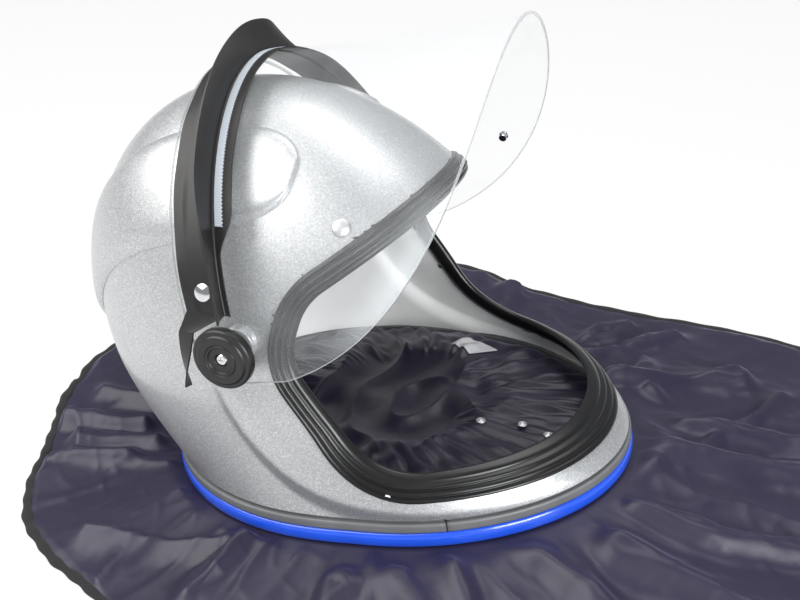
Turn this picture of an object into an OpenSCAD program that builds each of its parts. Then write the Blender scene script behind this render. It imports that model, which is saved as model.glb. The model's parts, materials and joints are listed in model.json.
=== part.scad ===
// Ventilated visor helmet, lying on its spread cape with the visor swung up.
// Millimetres. Helmet parts are drawn about their own rim plane and then set down on the cape.

/* [Shell] */
// Half width of the shell at its widest level
half_w = 125; // [120:1:130]
// Level of the widest section above the rim
belt_z = 64; // [58:1:70]
// Height of the crown above the rim
crown_h = 244; // [238:1:250]
// Roundness of the dome, where 2 is an ellipse
dome_n = 1.96; // [1.9:0.02:2.1]
// Reach of the forehead in front of the middle
front_reach = 154; // [150:1:158]
// Reach of the back of the head behind the middle
rear_reach = 168; // [164:1:172]
// How far the chin runs out past the forehead
chin_out = 28.5; // [28:0.5:34]
// How far the nape draws in below the widest level
nape_in = 28; // [26:0.5:32]
// How far the sides flare out at the rim
side_flare = 8; // [6:0.5:9]
// Backward lean of the middle, per unit of height
lean = 0.2; // [0.17:0.01:0.22]
// Extra backward shift of the crown
crown_shift = 10; // [7:0.5:12]
// Squareness of the plan at the rim, at the widest level and at the crown
plan_rim = 2.0; // [1.95:0.05:2.1]
plan_belt = 2.25; // [2.15:0.05:2.3]
plan_crown = 2.1; // [2.05:0.05:2.2]
// Wall of the moulding
wall = 4; // [3.5:0.25:4.5]

/* [Crease] */
// Height of the moulded crease over the cheek
crease_h = 6; // [4:0.5:6.5]
// Width of the slope above the crease
crease_above = 48; // [40:1:54]
// Width of the slope below the crease
crease_below = 14; // [11:1:17]
// Level at which the crease runs out under the chin
crease_low = 4; // [3:0.5:6]
// Rise of the crease towards the knob
crease_rise = 74; // [68:1:78]
// Length over which the crease comes down
crease_run = 38; // [34:1:42]

/* [Face opening] */
// Points where the sides of the opening would meet, in side view
open_brow = [110.6, 207.1];
open_temple = [6.2, 144.2];
open_cheek = [-7.3, 100.2];
open_jaw = [46.8, 15.5];
open_chin = [260, 11];
// Corner radius at the temple
open_r_temple = 45; // [40:1:52]
// Corner radius at the cheek
open_r_cheek = 47; // [42:1:54]
// Corner radius at the jaw
open_r_jaw = 73; // [66:1:80]
// Clearance of the rubber seal to the cut edge
seal_gap = 0.5; // [0.4:0.05:0.7]
// Width of the seal's lip over the outside of the shell
seal_lip = 2.4; // [2:0.1:3]
// Reach of the seal's bulb into the opening
seal_bulb = 12.6; // [11:0.2:13]
// Height of the seal above the shell
seal_h = 3.6; // [2.8:0.1:4]

/* [Rim and band] */
// Depth of the dark groove under the shell's edge
groove_h = 2.5; // [2:0.1:3.2]
// Height of the rubber edging profile
profile_h = 6.5; // [5.5:0.1:7.5]
// Height of the clamping band
band_h = 10.5; // [9:0.1:11]
// How far the band bulges out
band_bulge = 3; // [2:0.1:4]
// Thickness of the profile and of the band, behind the shell's edge
band_in = 6; // [5:0.1:6.5]
// Width of the butt joint in the profile
butt_gap = 0.6; // [0.4:0.1:1]

/* [Pivot and visor] */
// Pivot ahead of the middle of the rim
pivot_x = -24; // [-27:0.5:-22]
// Pivot above the rim
pivot_z = 113; // [110:0.5:115]
// Gap between the pivot boss and the middle of the visor sheet
boss_gap = 11; // [10:0.1:11.5]
// Depth of the pivot boss
boss_t = 15; // [14:0.5:17]
// Radius of the pivot boss
boss_r = 11; // [10:0.5:11.5]
// Gap between the shell's widest level and the middle of the visor sheet
visor_gap = 11; // [10.5:0.1:12]
// Thickness of the visor sheet
visor_t = 2; // [1.6:0.1:2.4]
// Radius of the round end of the sheet at the pivot
tab_r = 20; // [19:0.5:23]
// Reach of the sheet's lower edge past the crown's height, across its own tilted plane
low_over = 83; // [79:1:86]
// Squareness of the lower edge
low_m = 1.93; // [1.9:0.01:1.98]
// Tilt of the lower edge
low_tilt = 68.6; // [67.6:0.2:69.6]
// Depths that shape the lower edge, from the middle to the pivot
low_c = [-81, -67, -24, 132.5];
// Height of the sheet's upper edge over the crown
up_over = 10; // [8:0.5:13]
// Squareness of the upper edge
up_m = 1.91; // [1.88:0.01:1.95]
// Upper edge ahead of the pivot, at the middle and at the side
up_x_mid = -57; // [-60:0.5:-54]
up_x_side = -21; // [-23:0.5:-19]
// Running gap between pieces that turn against each other
run_gap = 0.4; // [0.3:0.05:0.6]
// Radial clearance of a running or close fit
fit_gap = 0.05; // [0.02:0.01:0.08]
// Radius of the bush's spindle
spindle_r = 6; // [5:0.25:7]
// Radius of the bush's shoulder
shoulder_r = 8.5; // [8:0.25:9]
// Radius of the pivot screw
screw_r = 2.5; // [2:0.1:3]

/* [Knob] */
// Radius of the pivot knob
knob_r = 19.6; // [18.5:0.1:20.5]
// Height of the knob
knob_h = 8; // [7:0.25:9.5]
// Height of the step round the knob's face
knob_step = 1.2; // [0.8:0.1:1.6]
// Radius of the screw's head
head_r = 3.9; // [3.4:0.1:4.3]
// Height of the screw's head
head_h = 2.2; // [1.8:0.1:2.6]

/* [Flap and fixings] */
// Thickness of the vinyl
vinyl = 1.2; // [0.9:0.1:1.4]
// Line of the seam in front of the sheet's upper edge
seam_e = 30; // [28:0.5:32]
// Free width of the front flap
flap_w = 20; // [17:0.5:23]
// Width of the front flap's flange in front of the seam
flange_w = 13; // [10:0.5:15]
// Distance of the rear flap from the sheet's upper edge
rear_e = 4; // [2:0.5:6]
// Width of the pinked tape
tape_w = 5; // [4:0.25:6]
// Radius of the dome rivets
rivet_r = 5.8; // [5.2:0.1:6.2]
// Radius of the rivets' shanks
shank_r = 2.1; // [1.8:0.1:2.4]

/* [Duct] */
// Height of the air duct over the shell
duct_h = 6; // [5.2:0.1:6.6]
// Wall of the duct
duct_wall = 2.6; // [2.2:0.1:3]
// Gap of the bonding line
bond_gap = 0.3; // [0.2:0.05:0.4]
// Radius of the air ports at the temples
port_r = 7; // [6:0.25:8]
// Radius of the hose spigot
spigot_r = 12.5; // [11.5:0.25:13.5]
// Length of the hose spigot
spigot_l = 22; // [20:0.5:26]
// Bore of the hose spigot
spigot_bore = 9; // [8:0.25:10]
// Downward tilt of the hose spigot
spigot_tilt = 15; // [12:1:18]
// Level of the hose inlet above the rim
inlet_z = 36; // [33:0.5:39]

/* [Harness] */
// Half length and half width of the headband
hb_a = 92; // [89:1:95]
hb_b = 76; // [72:1:79]
// Middle of the headband behind the middle of the rim, and its level
hb_x = -44; // [-47:1:-42]
hb_z = 147; // [144:1:150]
// Rise of the headband towards the forehead, per unit of length
hb_tilt = 0.3; // [0.26:0.01:0.33]
// Height of the headband
hb_h = 24; // [20:1:27]
// Thickness of the headband
hb_t = 2; // [1.6:0.1:2.4]
// Width of the crown straps
strap_w = 20; // [16:1:22]
// Thickness of the crown straps
strap_t = 1.8; // [1.4:0.1:2]
// How deep the straps hang below the shell
strap_sag = 15; // [13:0.5:18]

/* [Cape and collar] */
// Level of the rim's middle over the floor
lift = 37; // [36.5:0.25:39]
// Nose-up tilt at which the helmet lies
pitch = 5.6; // [5:0.1:5.8]
// Reach of the cape from the middle, every 20 degrees from the front
reach = [428, 420, 403, 322, 298, 325, 320, 300, 280, 262, 245, 251, 236, 240, 275, 330, 385, 420];
// Thickness of the cape's folded edge
edge_t = 5; // [4:0.5:7]
// Width of the binding along the edge
hem_w = 5; // [4:0.5:7]
// Height of the cape's main folds
fold_h = 15; // [10:1:18]
// Radius of the neck hole in the collar
neck_r = 58; // [52:1:64]
// Height of the collar over the rim
collar_h = 17; // [13:1:20]
// Thickness of the gathered collar
collar_t = 3.2; // [2.6:0.2:4]

/* [Hidden] */
visor_b = half_w + visor_gap;
boss_out = visor_b - boss_gap;
low_a = crown_h - pivot_z + low_over;
up_top = crown_h - pivot_z + up_over;
$fn = 48;
round_n = 48;

function clamp(v, a, b) = min(b, max(a, v));
function ss(t) = let(u = clamp(t, 0, 1)) u * u * (3 - 2 * u);
function sp(v, e) = v < 0 ? -pow(-v, e) : pow(v, e);
function unit(v) = v / norm(v);
function mixv(a, b, t) = a * (1 - t) + b * t;
function flat(l) = [for (a = l) for (b = a) b];
function run(l, i) = i == 0 ? 0 : run(l, i - 1) + l[i - 1];

// Smooth curve through a list of values, open or closed
function cr4(a, b, c, d, t) = b + 0.5 * t * ((c - a) + t * ((2 * a - 5 * b + 4 * c - d) + t * (3 * (b - c) + d - a)));
function open_curve(l, t) = let(n = len(l), i = clamp(floor(t), 0, n - 2), f = t - i)
    cr4(l[max(i - 1, 0)], l[i], l[i + 1], l[min(i + 2, n - 1)], f);
function ring_curve(l, t) = let(n = len(l), i = floor(t), f = t - i)
    cr4(l[(i + n - 1) % n], l[i % n], l[(i + 1) % n], l[(i + 2) % n], f);

// Section of the shell at a level, grown by an offset
function dome_u(z, o) = clamp((z - belt_z) / (crown_h + o - belt_z), 0, 1);
function under_v(z) = clamp((belt_z - z) / belt_z, 0, 1);
function dome_s(z, o) = pow(max(0, 1 - pow(dome_u(z, o), dome_n)), 1 / dome_n);
function mid_x(z, o) = -lean * z - crown_shift * dome_u(z, o);
function half_y(z, o) = z >= belt_z ? (half_w + o) * dome_s(z, o) : half_w + o + side_flare * pow(under_v(z), 2);
function fore_x(z, o) = z >= belt_z ? (front_reach + o) * dome_s(z, o) : front_reach + o + chin_out * pow(under_v(z), 2);
function aft_x(z, o) = z >= belt_z ? (rear_reach + o) * dome_s(z, o) : rear_reach + o - nape_in * pow(under_v(z), 2);
function plan_m(z) = plan_belt + (plan_crown - plan_belt) * clamp(z / crown_h, 0, 1) + (plan_rim - plan_belt) * under_v(z);
function level_pt(z, a, o) = let(m = plan_m(z), c = cos(a), s = sin(a))
    [mid_x(z, o) + (c >= 0 ? fore_x(z, o) : aft_x(z, o)) * sp(c, 2 / m), half_y(z, o) * sp(s, 2 / m), z];

// Outward bump of the cheek crease
function crease_z(x) = crease_low + crease_rise * exp(-(x + 41) / crease_run);
function crease(x, z) = let(d = z - crease_z(x))
    crease_h * ss((x + 55) / 30) * (d > 0 ? ss(1 - d / crease_above) : ss(1 + d / crease_below));
function skin_pt(z, a, o) = let(p = level_pt(z, a, 0)) level_pt(z, a, o + crease(p.x, z));
function rim_pt(a, n, z) = let(p = skin_pt(0, a, n)) [p.x, p.y, z];
function side_y(x, z, o) = let(k = o + crease(x, z), m = plan_m(z), d = x - mid_x(z, k), r = d >= 0 ? fore_x(z, k) : aft_x(z, k))
    half_y(z, k) * pow(max(0, 1 - pow(abs(d) / r, m)), 1 / m);

// Points on the shell found along a ray from the middle of the head
centre = [-45, 0, 110];
function dir_of(al, be) = [cos(al) * cos(be), sin(be), sin(al) * cos(be)];
function out_of(p, o) = let(m = plan_m(p.z), d = p.x - mid_x(p.z, o), r = d >= 0 ? fore_x(p.z, o) : aft_x(p.z, o))
    p.z >= crown_h + o || r <= 0 ? 1 : pow(abs(d) / r, m) + pow(abs(p.y) / half_y(p.z, o), m) - 1;
function find_r(d, o, lo, hi, n) = let(r = (lo + hi) / 2)
    n == 0 ? r : out_of(centre + d * r, o) > 0 ? find_r(d, o, lo, r, n - 1) : find_r(d, o, r, hi, n - 1);
function ray_d(d, o) = centre + d * find_r(d, o, 60, 220, 20);
function ray_pt(al, be, o) = ray_d(dir_of(al, be), o);
function ray_n(al, be) = let(u = ray_pt(al + 2, be, 0) - ray_pt(al - 2, be, 0), v = ray_pt(al, be + 2, 0) - ray_pt(al, be - 2, 0),
    n = unit(cross(u, v))) n * dir_of(al, be) > 0 ? n : -n;

// Closed solid through a list of equal loops, joined end to end or capped across
function skin_faces(m, n, closed) = concat(
    [for (i = [0 : closed ? m - 1 : m - 2]) for (j = [0 : n - 1]) [i * n + j, i * n + (j + 1) % n, ((i + 1) % m) * n + (j + 1) % n]],
    [for (i = [0 : closed ? m - 1 : m - 2]) for (j = [0 : n - 1]) [i * n + j, ((i + 1) % m) * n + (j + 1) % n, ((i + 1) % m) * n + j]],
    closed ? [] : flat([for (j = [0 : n / 2 - 2]) let(e = (m - 1) * n) [
        [j + 1, j, n - 1 - j], [j + 1, n - 1 - j, n - 2 - j],
        [e + j, e + j + 1, e + n - 1 - j], [e + j + 1, e + n - 2 - j, e + n - 1 - j]]]));
function volume6(p, f) = let(v = [for (t = f) p[t[0]] * cross(p[t[1]], p[t[2]])]) v * [for (t = f) 1];
module skin(rings, closed = false) {
    p = flat(rings);
    f = skin_faces(len(rings), len(rings[0]), closed);
    polyhedron(points = p, faces = volume6(p, f) < 0 ? f : [for (t = f) [t[0], t[2], t[1]]], convexity = 8);
}

// Outline of the face opening in side view, as legs and arcs
leg_dir = unit(open_brow - open_temple);
legs = [open_brow + leg_dir * 120, open_temple, open_cheek, open_jaw, open_chin];
arcs = [0, open_r_temple, open_r_cheek, open_r_jaw, 0];
function head_of(i) = atan2(legs[i + 1].y - legs[i].y, legs[i + 1].x - legs[i].x);
function turn_of(i) = i == 0 || i == 4 ? 0 : head_of(i) - head_of(i - 1);
function tan_of(i) = arcs[i] * tan(turn_of(i) / 2);
function vec_of(a) = [cos(a), sin(a)];
function nrm_of(a) = [-sin(a), cos(a)];
leg_l = [for (i = [0 : 3]) norm(legs[i + 1] - legs[i]) - tan_of(i) - tan_of(i + 1)];
part_l = [leg_l[0], arcs[1] * turn_of(1) * PI / 180, leg_l[1], arcs[2] * turn_of(2) * PI / 180, leg_l[2],
    arcs[3] * turn_of(3) * PI / 180, leg_l[3]];
part_s = [for (i = [0 : 7]) run(part_l, i)];
function part_at(s) = max([for (i = [0 : 6]) s >= part_s[i] ? i : 0]);
function open_pt(s, a) = let(k = part_at(s), d = s - part_s[k], i = floor((k + 1) / 2))
    k % 2 == 0
    ? legs[i] + vec_of(head_of(i)) * (tan_of(i) + d) + nrm_of(head_of(i)) * a
    : let(h = head_of(i - 1), c = legs[i] - vec_of(h) * tan_of(i) + nrm_of(h) * arcs[i], g = h + d / arcs[i] * 180 / PI)
      c - nrm_of(g) * (arcs[i] - a);
function past_mid(s, a, o) = let(p = open_pt(s, a), k = o + crease(p.x, p.y)) p.x - mid_x(p.y, k) - fore_x(p.y, k);
function mid_s(a, o, inside, outside, n) = let(s = (inside + outside) / 2)
    n == 0 ? s : past_mid(s, a, o) > 0 ? mid_s(a, o, inside, s, n - 1) : mid_s(a, o, s, outside, n - 1);
function seal_ends(a, o) = [mid_s(a, o, part_s[2], 0, 22), mid_s(a, o, part_s[5], part_s[7], 22)];
function seal_at(a, o, e, t, side) = let(s = e[0] + (e[1] - e[0]) * (1 - cos(180 * t)) / 2, p = open_pt(s, a))
    [p.x, t == 0 || t == 1 ? 0 : side * side_y(p.x, p.y, o), p.y];

// Helmet frame set down on the cape, and the cape's outline
function set_down(p) = [p.x * cos(pitch) - p.z * sin(pitch), p.y, p.x * sin(pitch) + p.z * cos(pitch) + lift];
function reach_at(f) = ring_curve(reach, ((f % 360) + 360) % 360 / 20);
band_low = groove_h + profile_h + band_h;
cape_a = [for (i = [0 : 71]) i * 5];
cape_root = [for (a = cape_a) set_down(rim_pt(a, 1, -band_low - 0.3))];
cape_phi = [for (p = cape_root) atan2(p.y, p.x)];
cape_edge = [for (f = cape_phi) [cos(f), sin(f), 0] * reach_at(f)];
hem_edge = [for (i = [0 : 71]) cape_edge[i] + [cos(cape_phi[i]), sin(cape_phi[i]), 0] * (hem_w + 0.5)];
mid_plan = [(max([for (p = hem_edge) p.x]) + min([for (p = hem_edge) p.x])) / 2,
    (max([for (p = hem_edge) p.y]) + min([for (p = hem_edge) p.y])) / 2];
module on_cape() { translate([-mid_plan.x, -mid_plan.y, 0]) children(); }
module helmet() { on_cape() translate([0, 0, lift]) rotate([0, -pitch, 0]) children(); }
module both() { children(); mirror([0, 1, 0]) children(); }
module along(p, n) { translate(p) rotate([0, acos(n.z), atan2(n.y, n.x)]) children(); }
module right_pivot() { translate([pivot_x, 0, pivot_z]) rotate([90, 0, 0]) children(); }

// Stations of the fixings on the shell: sight angles from the middle of the head
rivet_at = [[39.6, -38], [39.6, 38], [165, 0]];
port_at = [[91, -39], [91, 39]];
module at_shell(q) { along(ray_pt(q[0], q[1], 0), ray_n(q[0], q[1])) children(); }
inlet_dir = [-cos(spigot_tilt), 0, -sin(spigot_tilt)];
inlet_pt = [mid_x(inlet_z, 0) - aft_x(inlet_z, 0), 0, inlet_z];
inlet_boss = 12;
inlet_deep = 13;
module at_inlet() { along(inlet_pt, inlet_dir) children(); }

// Levels of the shell's loops, outside and inside
out_z = concat([0, 6, 14, 24, 36, 50] * belt_z / 64, [for (k = [0 : 13]) belt_z + (crown_h - belt_z) * sin(90 * k / 13.6)]);
in_z = concat([0, 14, 32, 50] * belt_z / 64, [for (k = [0 : 10]) belt_z + (crown_h - wall - belt_z) * sin(90 * k / 10.6)]);
shell_loops = concat(
    [for (k = [len(in_z) - 1 : -1 : 0]) [for (j = [0 : round_n - 1]) level_pt(in_z[k], j * 360 / round_n,
        k == 0 ? -wall + crease(level_pt(0, j * 360 / round_n, 0).x, 0) : -wall)]],
    [for (z = out_z) [for (j = [0 : round_n - 1]) skin_pt(z, j * 360 / round_n, 0)]]);
cut_line = concat([for (s = [0 : 6]) for (k = [0 : s % 2 == 1 ? 7 : 0]) open_pt(part_s[s] + part_l[s] * k / 8 + 0.001, 0)],
    [legs[4], [legs[4].x + 60, legs[4].y], [legs[4].x + 60, legs[0].y]]);

module shell() {
    color("silver") helmet() difference() {
        union() {
            skin(shell_loops);
            both() right_pivot() translate([0, 0, boss_out - boss_t]) cylinder(r = boss_r, h = boss_t);
            at_inlet() translate([0, 0, -inlet_deep]) cylinder(r = spigot_r + 7, h = inlet_boss + inlet_deep);
        }
        translate([0, 200, 0]) rotate([90, 0, 0]) linear_extrude(400) polygon(cut_line);
        both() right_pivot() translate([0, 0, boss_out - boss_t - 1]) cylinder(r = screw_r + fit_gap, h = boss_t + 2);
        both() right_pivot() translate([0, 0, boss_out - spigot_in]) cylinder(r = spindle_r + fit_gap, h = spigot_in + 1);
        for (q = rivet_at) at_shell(q) translate([0, 0, -wall - 6]) cylinder(r = shank_r + fit_gap, h = wall + 12);
        for (q = port_at) at_shell(q) translate([0, 0, -wall - 8]) cylinder(r = port_r + 1.5 + fit_gap, h = wall + 16);
        at_inlet() translate([0, 0, -inlet_deep - 1]) cylinder(r = spigot_bore + 2 + fit_gap, h = inlet_boss + inlet_deep + 2);
    }
}
spigot_in = 6;

// Duct that runs from the nape round both sides to the temples
duct_path = [[63, 34], [76, 36.5], [92, 39.5], [115, 40.5], [137, 37], [154, 32], [169, 26.5], [181, 19.5], [189, 10.5], [192, 0],
    [189, -10.5], [181, -19.5], [169, -26.5], [154, -32], [137, -37], [115, -40.5], [92, -39.5], [76, -36.5], [63, -34]];
duct_half = [13, 14.5, 16, 17, 15.5, 13.5, 11.5, 10, 9, 8.5, 9, 10, 11.5, 13.5, 15.5, 17, 16, 14.5, 13];
duct_t = concat([0.04, 0.12, 0.25, 0.45, 0.7], [for (k = [1 : 0.4 : 17]) k], [17.3, 17.55, 17.75, 17.88, 17.96]);
duct_u = [-1, -0.95, -0.86, -0.5, 0, 0.5, 0.86, 0.95, 1];
duct_rise = [0.2, 0.6, 0.88, 1, 1.02, 1, 0.88, 0.6, 0.2];
duct_hollow = [0, 0, 0, 1, 1, 1, 0, 0, 0];
function duct_end(t) = let(e = min(t, 18 - t)) e >= 1 ? 1 : sqrt(1 - (1 - e) * (1 - e));
function duct_dir(t) = let(c = open_curve(duct_path, t), d = open_curve(duct_path, min(18, t + 0.05)) - open_curve(duct_path, max(0, t - 0.05)))
    let(g = unit([d.x * cos(c.y), d.y])) [-g.y / cos(c.y), g.x];
function duct_pt(t, u, o) = let(c = open_curve(duct_path, t), w = open_curve(duct_half, t) * duct_end(t), q = c + duct_dir(t) * w * u)
    ray_pt(q.x, q.y, o);
module duct_cowl() {
    color("silver") helmet() skin([for (t = duct_t) let(e = ss(min(t, 18 - t) / 0.5)) concat(
        [for (k = [0 : 8]) duct_pt(t, duct_u[k], bond_gap + max(0.8, duct_h * duct_rise[k] * e))],
        [for (k = [8 : -1 : 0]) duct_pt(t, duct_u[k], bond_gap + (duct_h - duct_wall) * duct_hollow[k] * ss(min(t, 18 - t) - 0.5))])]);
}

// Rubber seal round the opening: section as distance into the opening and height over the shell
seal_sec = [[-seal_lip, seal_gap], [-seal_lip * 0.93, seal_h * 0.6], [-seal_lip * 0.55, seal_h * 0.95], [0, seal_h],
    [seal_bulb * 0.24, seal_h * 0.72], [seal_bulb * 0.55, seal_h * 0.94], [seal_bulb * 0.9, seal_h * 0.4], [seal_bulb, -2.4],
    [seal_bulb * 0.85, -6], [seal_bulb * 0.25, -7.4], [seal_gap, -5], [seal_gap, seal_gap]];
seal_n = 32;
module opening_seal() {
    ends = [for (q = seal_sec) seal_ends(q[0], q[1])];
    color("black") helmet() skin(concat(
        [for (i = [0 : seal_n]) [for (k = [0 : len(seal_sec) - 1]) seal_at(seal_sec[k][0], seal_sec[k][1], ends[k], i / seal_n, -1)]],
        [for (i = [seal_n - 1 : -1 : 1]) [for (k = [0 : len(seal_sec) - 1]) seal_at(seal_sec[k][0], seal_sec[k][1], ends[k], i / seal_n, 1)]]), true);
}

// Edging under the shell: a flange behind the groove carries it, and a butt joint closes it
butt_a = -58;
profile_low = groove_h + profile_h;
profile_sec = [[-band_in, 0], [-2.5, 0], [-2.5, -groove_h], [1, -groove_h], [1.6, -groove_h - 1.4], [1.6, -profile_low + 1.4],
    [1, -profile_low], [-band_in, -profile_low]];
module rim_profile() {
    half = butt_gap / 2 / 130 * 180 / PI;
    color("gray") helmet() skin([for (i = [0 : round_n]) let(a = i == 0 ? butt_a + half : i == round_n ? butt_a - half + 360
        : (floor(butt_a / 7.5) + i) * 360 / round_n) [for (q = profile_sec) rim_pt(a, q[0], q[1])]]);
}
band_sec = [[-band_in, -profile_low], [0.8, -profile_low], [band_bulge * 0.8, -profile_low - band_h * 0.2],
    [band_bulge, -profile_low - band_h * 0.48], [band_bulge * 0.7, -profile_low - band_h * 0.8], [-0.5, -band_low],
    [-band_in, -band_low]];
module cape_band() {
    color("royalblue") helmet() skin([for (j = [0 : round_n - 1]) [for (q = band_sec) rim_pt(j * 360 / round_n, q[0], q[1])]], true);
}

// Main folds of the spread cape: direction, share of the height, width in degrees, where it peaks
folds = [[2, 0.55, 7, 0.5], [20, 0.8, 6, 0.6], [36, 1, 7, 0.35], [52, 0.8, 6, 0.45], [70, 0.6, 6, 0.6], [90, 0.9, 7, 0.5],
    [112, 0.6, 7, 0.55], [132, 0.9, 8, 0.6], [152, 0.7, 7, 0.5], [168, 1.2, 6, 0.75], [186, 0.7, 6, 0.6], [200, 1, 6, 0.7],
    [216, 0.6, 6, 0.5], [231, 1, 6, 0.6], [246, 0.7, 5, 0.5], [259, 1.1, 6, 0.45], [276, 0.6, 6, 0.6], [292, 0.9, 7, 0.5],
    [310, 0.6, 7, 0.55], [325, 0.9, 6, 0.4], [344, 1.1, 6, 0.35]];
function fold_at(f, t) = let(w = [for (q = folds) let(d = abs(((f - q[0] + 540) % 360) - 180), e = abs(t - q[3]))
    q[1] * exp(-d * d / (q[2] * q[2])) * ss(1 - e / 0.55)]) w * [for (q = folds) 1];
function lay_h(f, t, root) = edge_t + (root - edge_t) * pow(1 - t, 2.4) + fold_h * fold_at((f + 360) % 360, t) * ss(t / 0.2) * ss((1 - t) / 0.12);
lay_t = [0.05, 0.13, 0.22, 0.33, 0.45, 0.57, 0.69, 0.81, 0.92, 1];
module cape() {
    color("darkslateblue") on_cape() skin([for (i = [0 : 71]) let(a = cape_a[i], f = cape_phi[i], r = cape_root[i], e = cape_edge[i],
        w = set_down(rim_pt(a, -band_in - 0.5, -band_low - 0.3))) concat(
        [[w.x, w.y, 0], w, [r.x, r.y, r.z]],
        [for (t = lay_t) let(p = mixv(r, e, t)) [p.x, p.y, lay_h(f, t, r.z)]],
        [[e.x, e.y, 0]])], true);
}
module cape_hem() {
    color("black") on_cape() skin([for (i = [0 : 71]) let(e = cape_edge[i], d = [cos(cape_phi[i]), sin(cape_phi[i]), 0]) [
        e, e + d * hem_w, e + d * (hem_w + 0.5) + [0, 0, edge_t * 0.45], e + d * hem_w * 0.7 + [0, 0, edge_t + 0.6], e + [0, 0, edge_t]]], true);
}

// Gathered collar from the band up to the neck hole: section as share of the way out and height
collar_mid = [15, 0];
collar_n = 48;
function collar_rise(a) = 0.75 + 0.65 * exp(-pow((abs(a - 68) > 180 ? 360 - abs(a - 68) : abs(a - 68)) / 26, 2)) + 0.12 * sin(5 * a + 20) + 0.08 * sin(9 * a);
collar_up = [[1, -14], [0.995, -3], [0.8, 5], [0.55, 11], [0.3, 15.5], [0.12, 17], [0, 13], [0.01, -6]];
function collar_pt(a, k, low) = let(o = rim_pt(a, -band_in - 0.3, 0), q = collar_up[k], g = collar_mid + [cos(a), sin(a)] * (neck_r + 2.5 * sin(7 * a)),
    d = [o.x - g.x, o.y - g.y], l = norm(d), n = d / l, s = k < 2 ? l * q[0] - (low ? collar_t : 0) : k > 5 ? l * q[0] + (low ? collar_t : 0) : l * q[0],
    h = q[1] * collar_h / 17 * (q[1] > 0 ? collar_rise(a) : 1) + (k > 1 && k < 6 ? 1.6 * sin(11 * a + 40 * k) : 0) - (low ? (k == 0 ? 0 : k == 1 ? 2 : k < 6 ? collar_t : 1.5) : 0))
    [g.x + n.x * s, g.y + n.y * s, h];
module inner_collar() {
    color("midnightblue") helmet() skin([for (i = [0 : collar_n - 1]) let(a = i * 360 / collar_n) concat(
        [for (k = [0 : 7]) collar_pt(a, k, false)], [for (k = [7 : -1 : 0]) collar_pt(a, k, true)])], true);
}
function collar_on(a, f, h) = let(k = min(floor(f), 6), i = floor(a * collar_n / 360), t = a * collar_n / 360 - i,
    p = mixv(collar_pt(i * 360 / collar_n, k, false), collar_pt(i * 360 / collar_n, k + 1, false), f - k),
    q = mixv(collar_pt((i + 1) * 360 / collar_n, k, false), collar_pt((i + 1) * 360 / collar_n, k + 1, false), f - k)) mixv(p, q, t) + [0, 0, h];
module collar_label() {
    color("whitesmoke") helmet() skin([for (a = [45 : 3.75 : 60]) concat([for (f = [4.95, 4.5, 4, 3.5]) collar_on(a, f, 1.6)],
        [for (f = [3.5, 4, 4.5, 4.95]) collar_on(a, f, 0.9)])]);
}
snap_at = [[344, 4.4], [352, 3.4], [348, 2.6]];
module collar_snaps() {
    color("dimgray") helmet() for (q = snap_at) translate(collar_on(q[0], q[1], 1.2))
        rotate_extrude() polygon([[0, 0], [3.4, 0], [3.6, 0.8], [2.6, 2], [1.2, 2.6], [0, 2.7]]);
}

// Visor sheet: straight lines from the lower edge to the upper edge, about the pivot
function low_pt(s) = let(c = pow(max(0, cos(90 * abs(s))), 2 / low_m), d = visor_b * pow(sin(90 * abs(s)), 2 / low_m), x = low_a * c,
    k = abs(s), e = low_c[0] + low_c[1] * k * k + low_c[2] * pow(k, 3) + low_c[3] * pow(k, 4))
    [x * cos(low_tilt) - e * sin(low_tilt), sign(s) * d, x * sin(low_tilt) + e * cos(low_tilt)];
function up_pt(s) = [up_x_mid + (up_x_side - up_x_mid) * pow(abs(s), 1.5), sign(s) * visor_b * pow(sin(90 * abs(s)), 2 / up_m),
    up_top * pow(max(0, cos(90 * abs(s))), 2 / up_m)];
function sheet_mid(s, w) = mixv(low_pt(s), up_pt(s), w);
function sheet_n(s, w) = let(a = max(-1, s - 0.01), b = min(1, s + 0.01), t = sheet_mid(b, w) - sheet_mid(a, w), n = unit(cross(t, up_pt(s) - low_pt(s))))
    n * [0, sheet_mid(s, w).y, 60] > 0 ? n : -n;
function sheet_pt(s, e, h) = let(u = up_pt(s), l = low_pt(s), w = 1 - e / norm(u - l)) u + (l - u) * (1 - w) + sheet_n(s, min(1, w)) * h;
module at_pivot() { translate([pivot_x, 0, pivot_z]) children(); }
module at_sheet(s, e) { along(sheet_pt(s, e, 0), sheet_n(s, 1 - e / norm(up_pt(s) - low_pt(s)))) children(); }
sheet_s = [for (i = [-20 : 20]) i / 20];
stud_at = [[0.7, 20]];
rivet_s = [[-0.81, 19], [0.81, 19]];
module visor() {
    color("lightcyan", 0.35) helmet() difference() {
        union() {
            at_pivot() skin([for (s = sheet_s) concat([for (w = [0 : 0.25 : 1]) sheet_mid(s, w) + sheet_n(s, w) * visor_t / 2],
                [for (w = [1 : -0.25 : 0]) sheet_mid(s, w) - sheet_n(s, w) * visor_t / 2])]);
            both() right_pivot() translate([0, 0, visor_b - visor_t / 2]) {
                cylinder(r = tab_r, h = visor_t);
                linear_extrude(visor_t) polygon([[low_pt(1).x, low_pt(1).z], [up_pt(1).x, up_pt(1).z], [-tab_r * 0.72, -tab_r * 0.69], [tab_r * 0.18, -tab_r * 0.983]]);
            }
        }
        both() right_pivot() translate([0, 0, visor_b - 10]) cylinder(r = spindle_r + fit_gap, h = 20);
        both() right_pivot() translate([0, 0, visor_b - visor_t / 2 - 12]) cylinder(r = shoulder_r + 1, h = 12);
        at_pivot() for (q = rivet_s) at_sheet(q[0], q[1]) translate([0, 0, -6]) cylinder(r = shank_r + fit_gap, h = 12);
        at_pivot() for (q = stud_at) at_visor_low(q[0], q[1]) translate([0, 0, -6]) cylinder(r = 1.5 + fit_gap, h = 12);
    }
}
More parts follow.
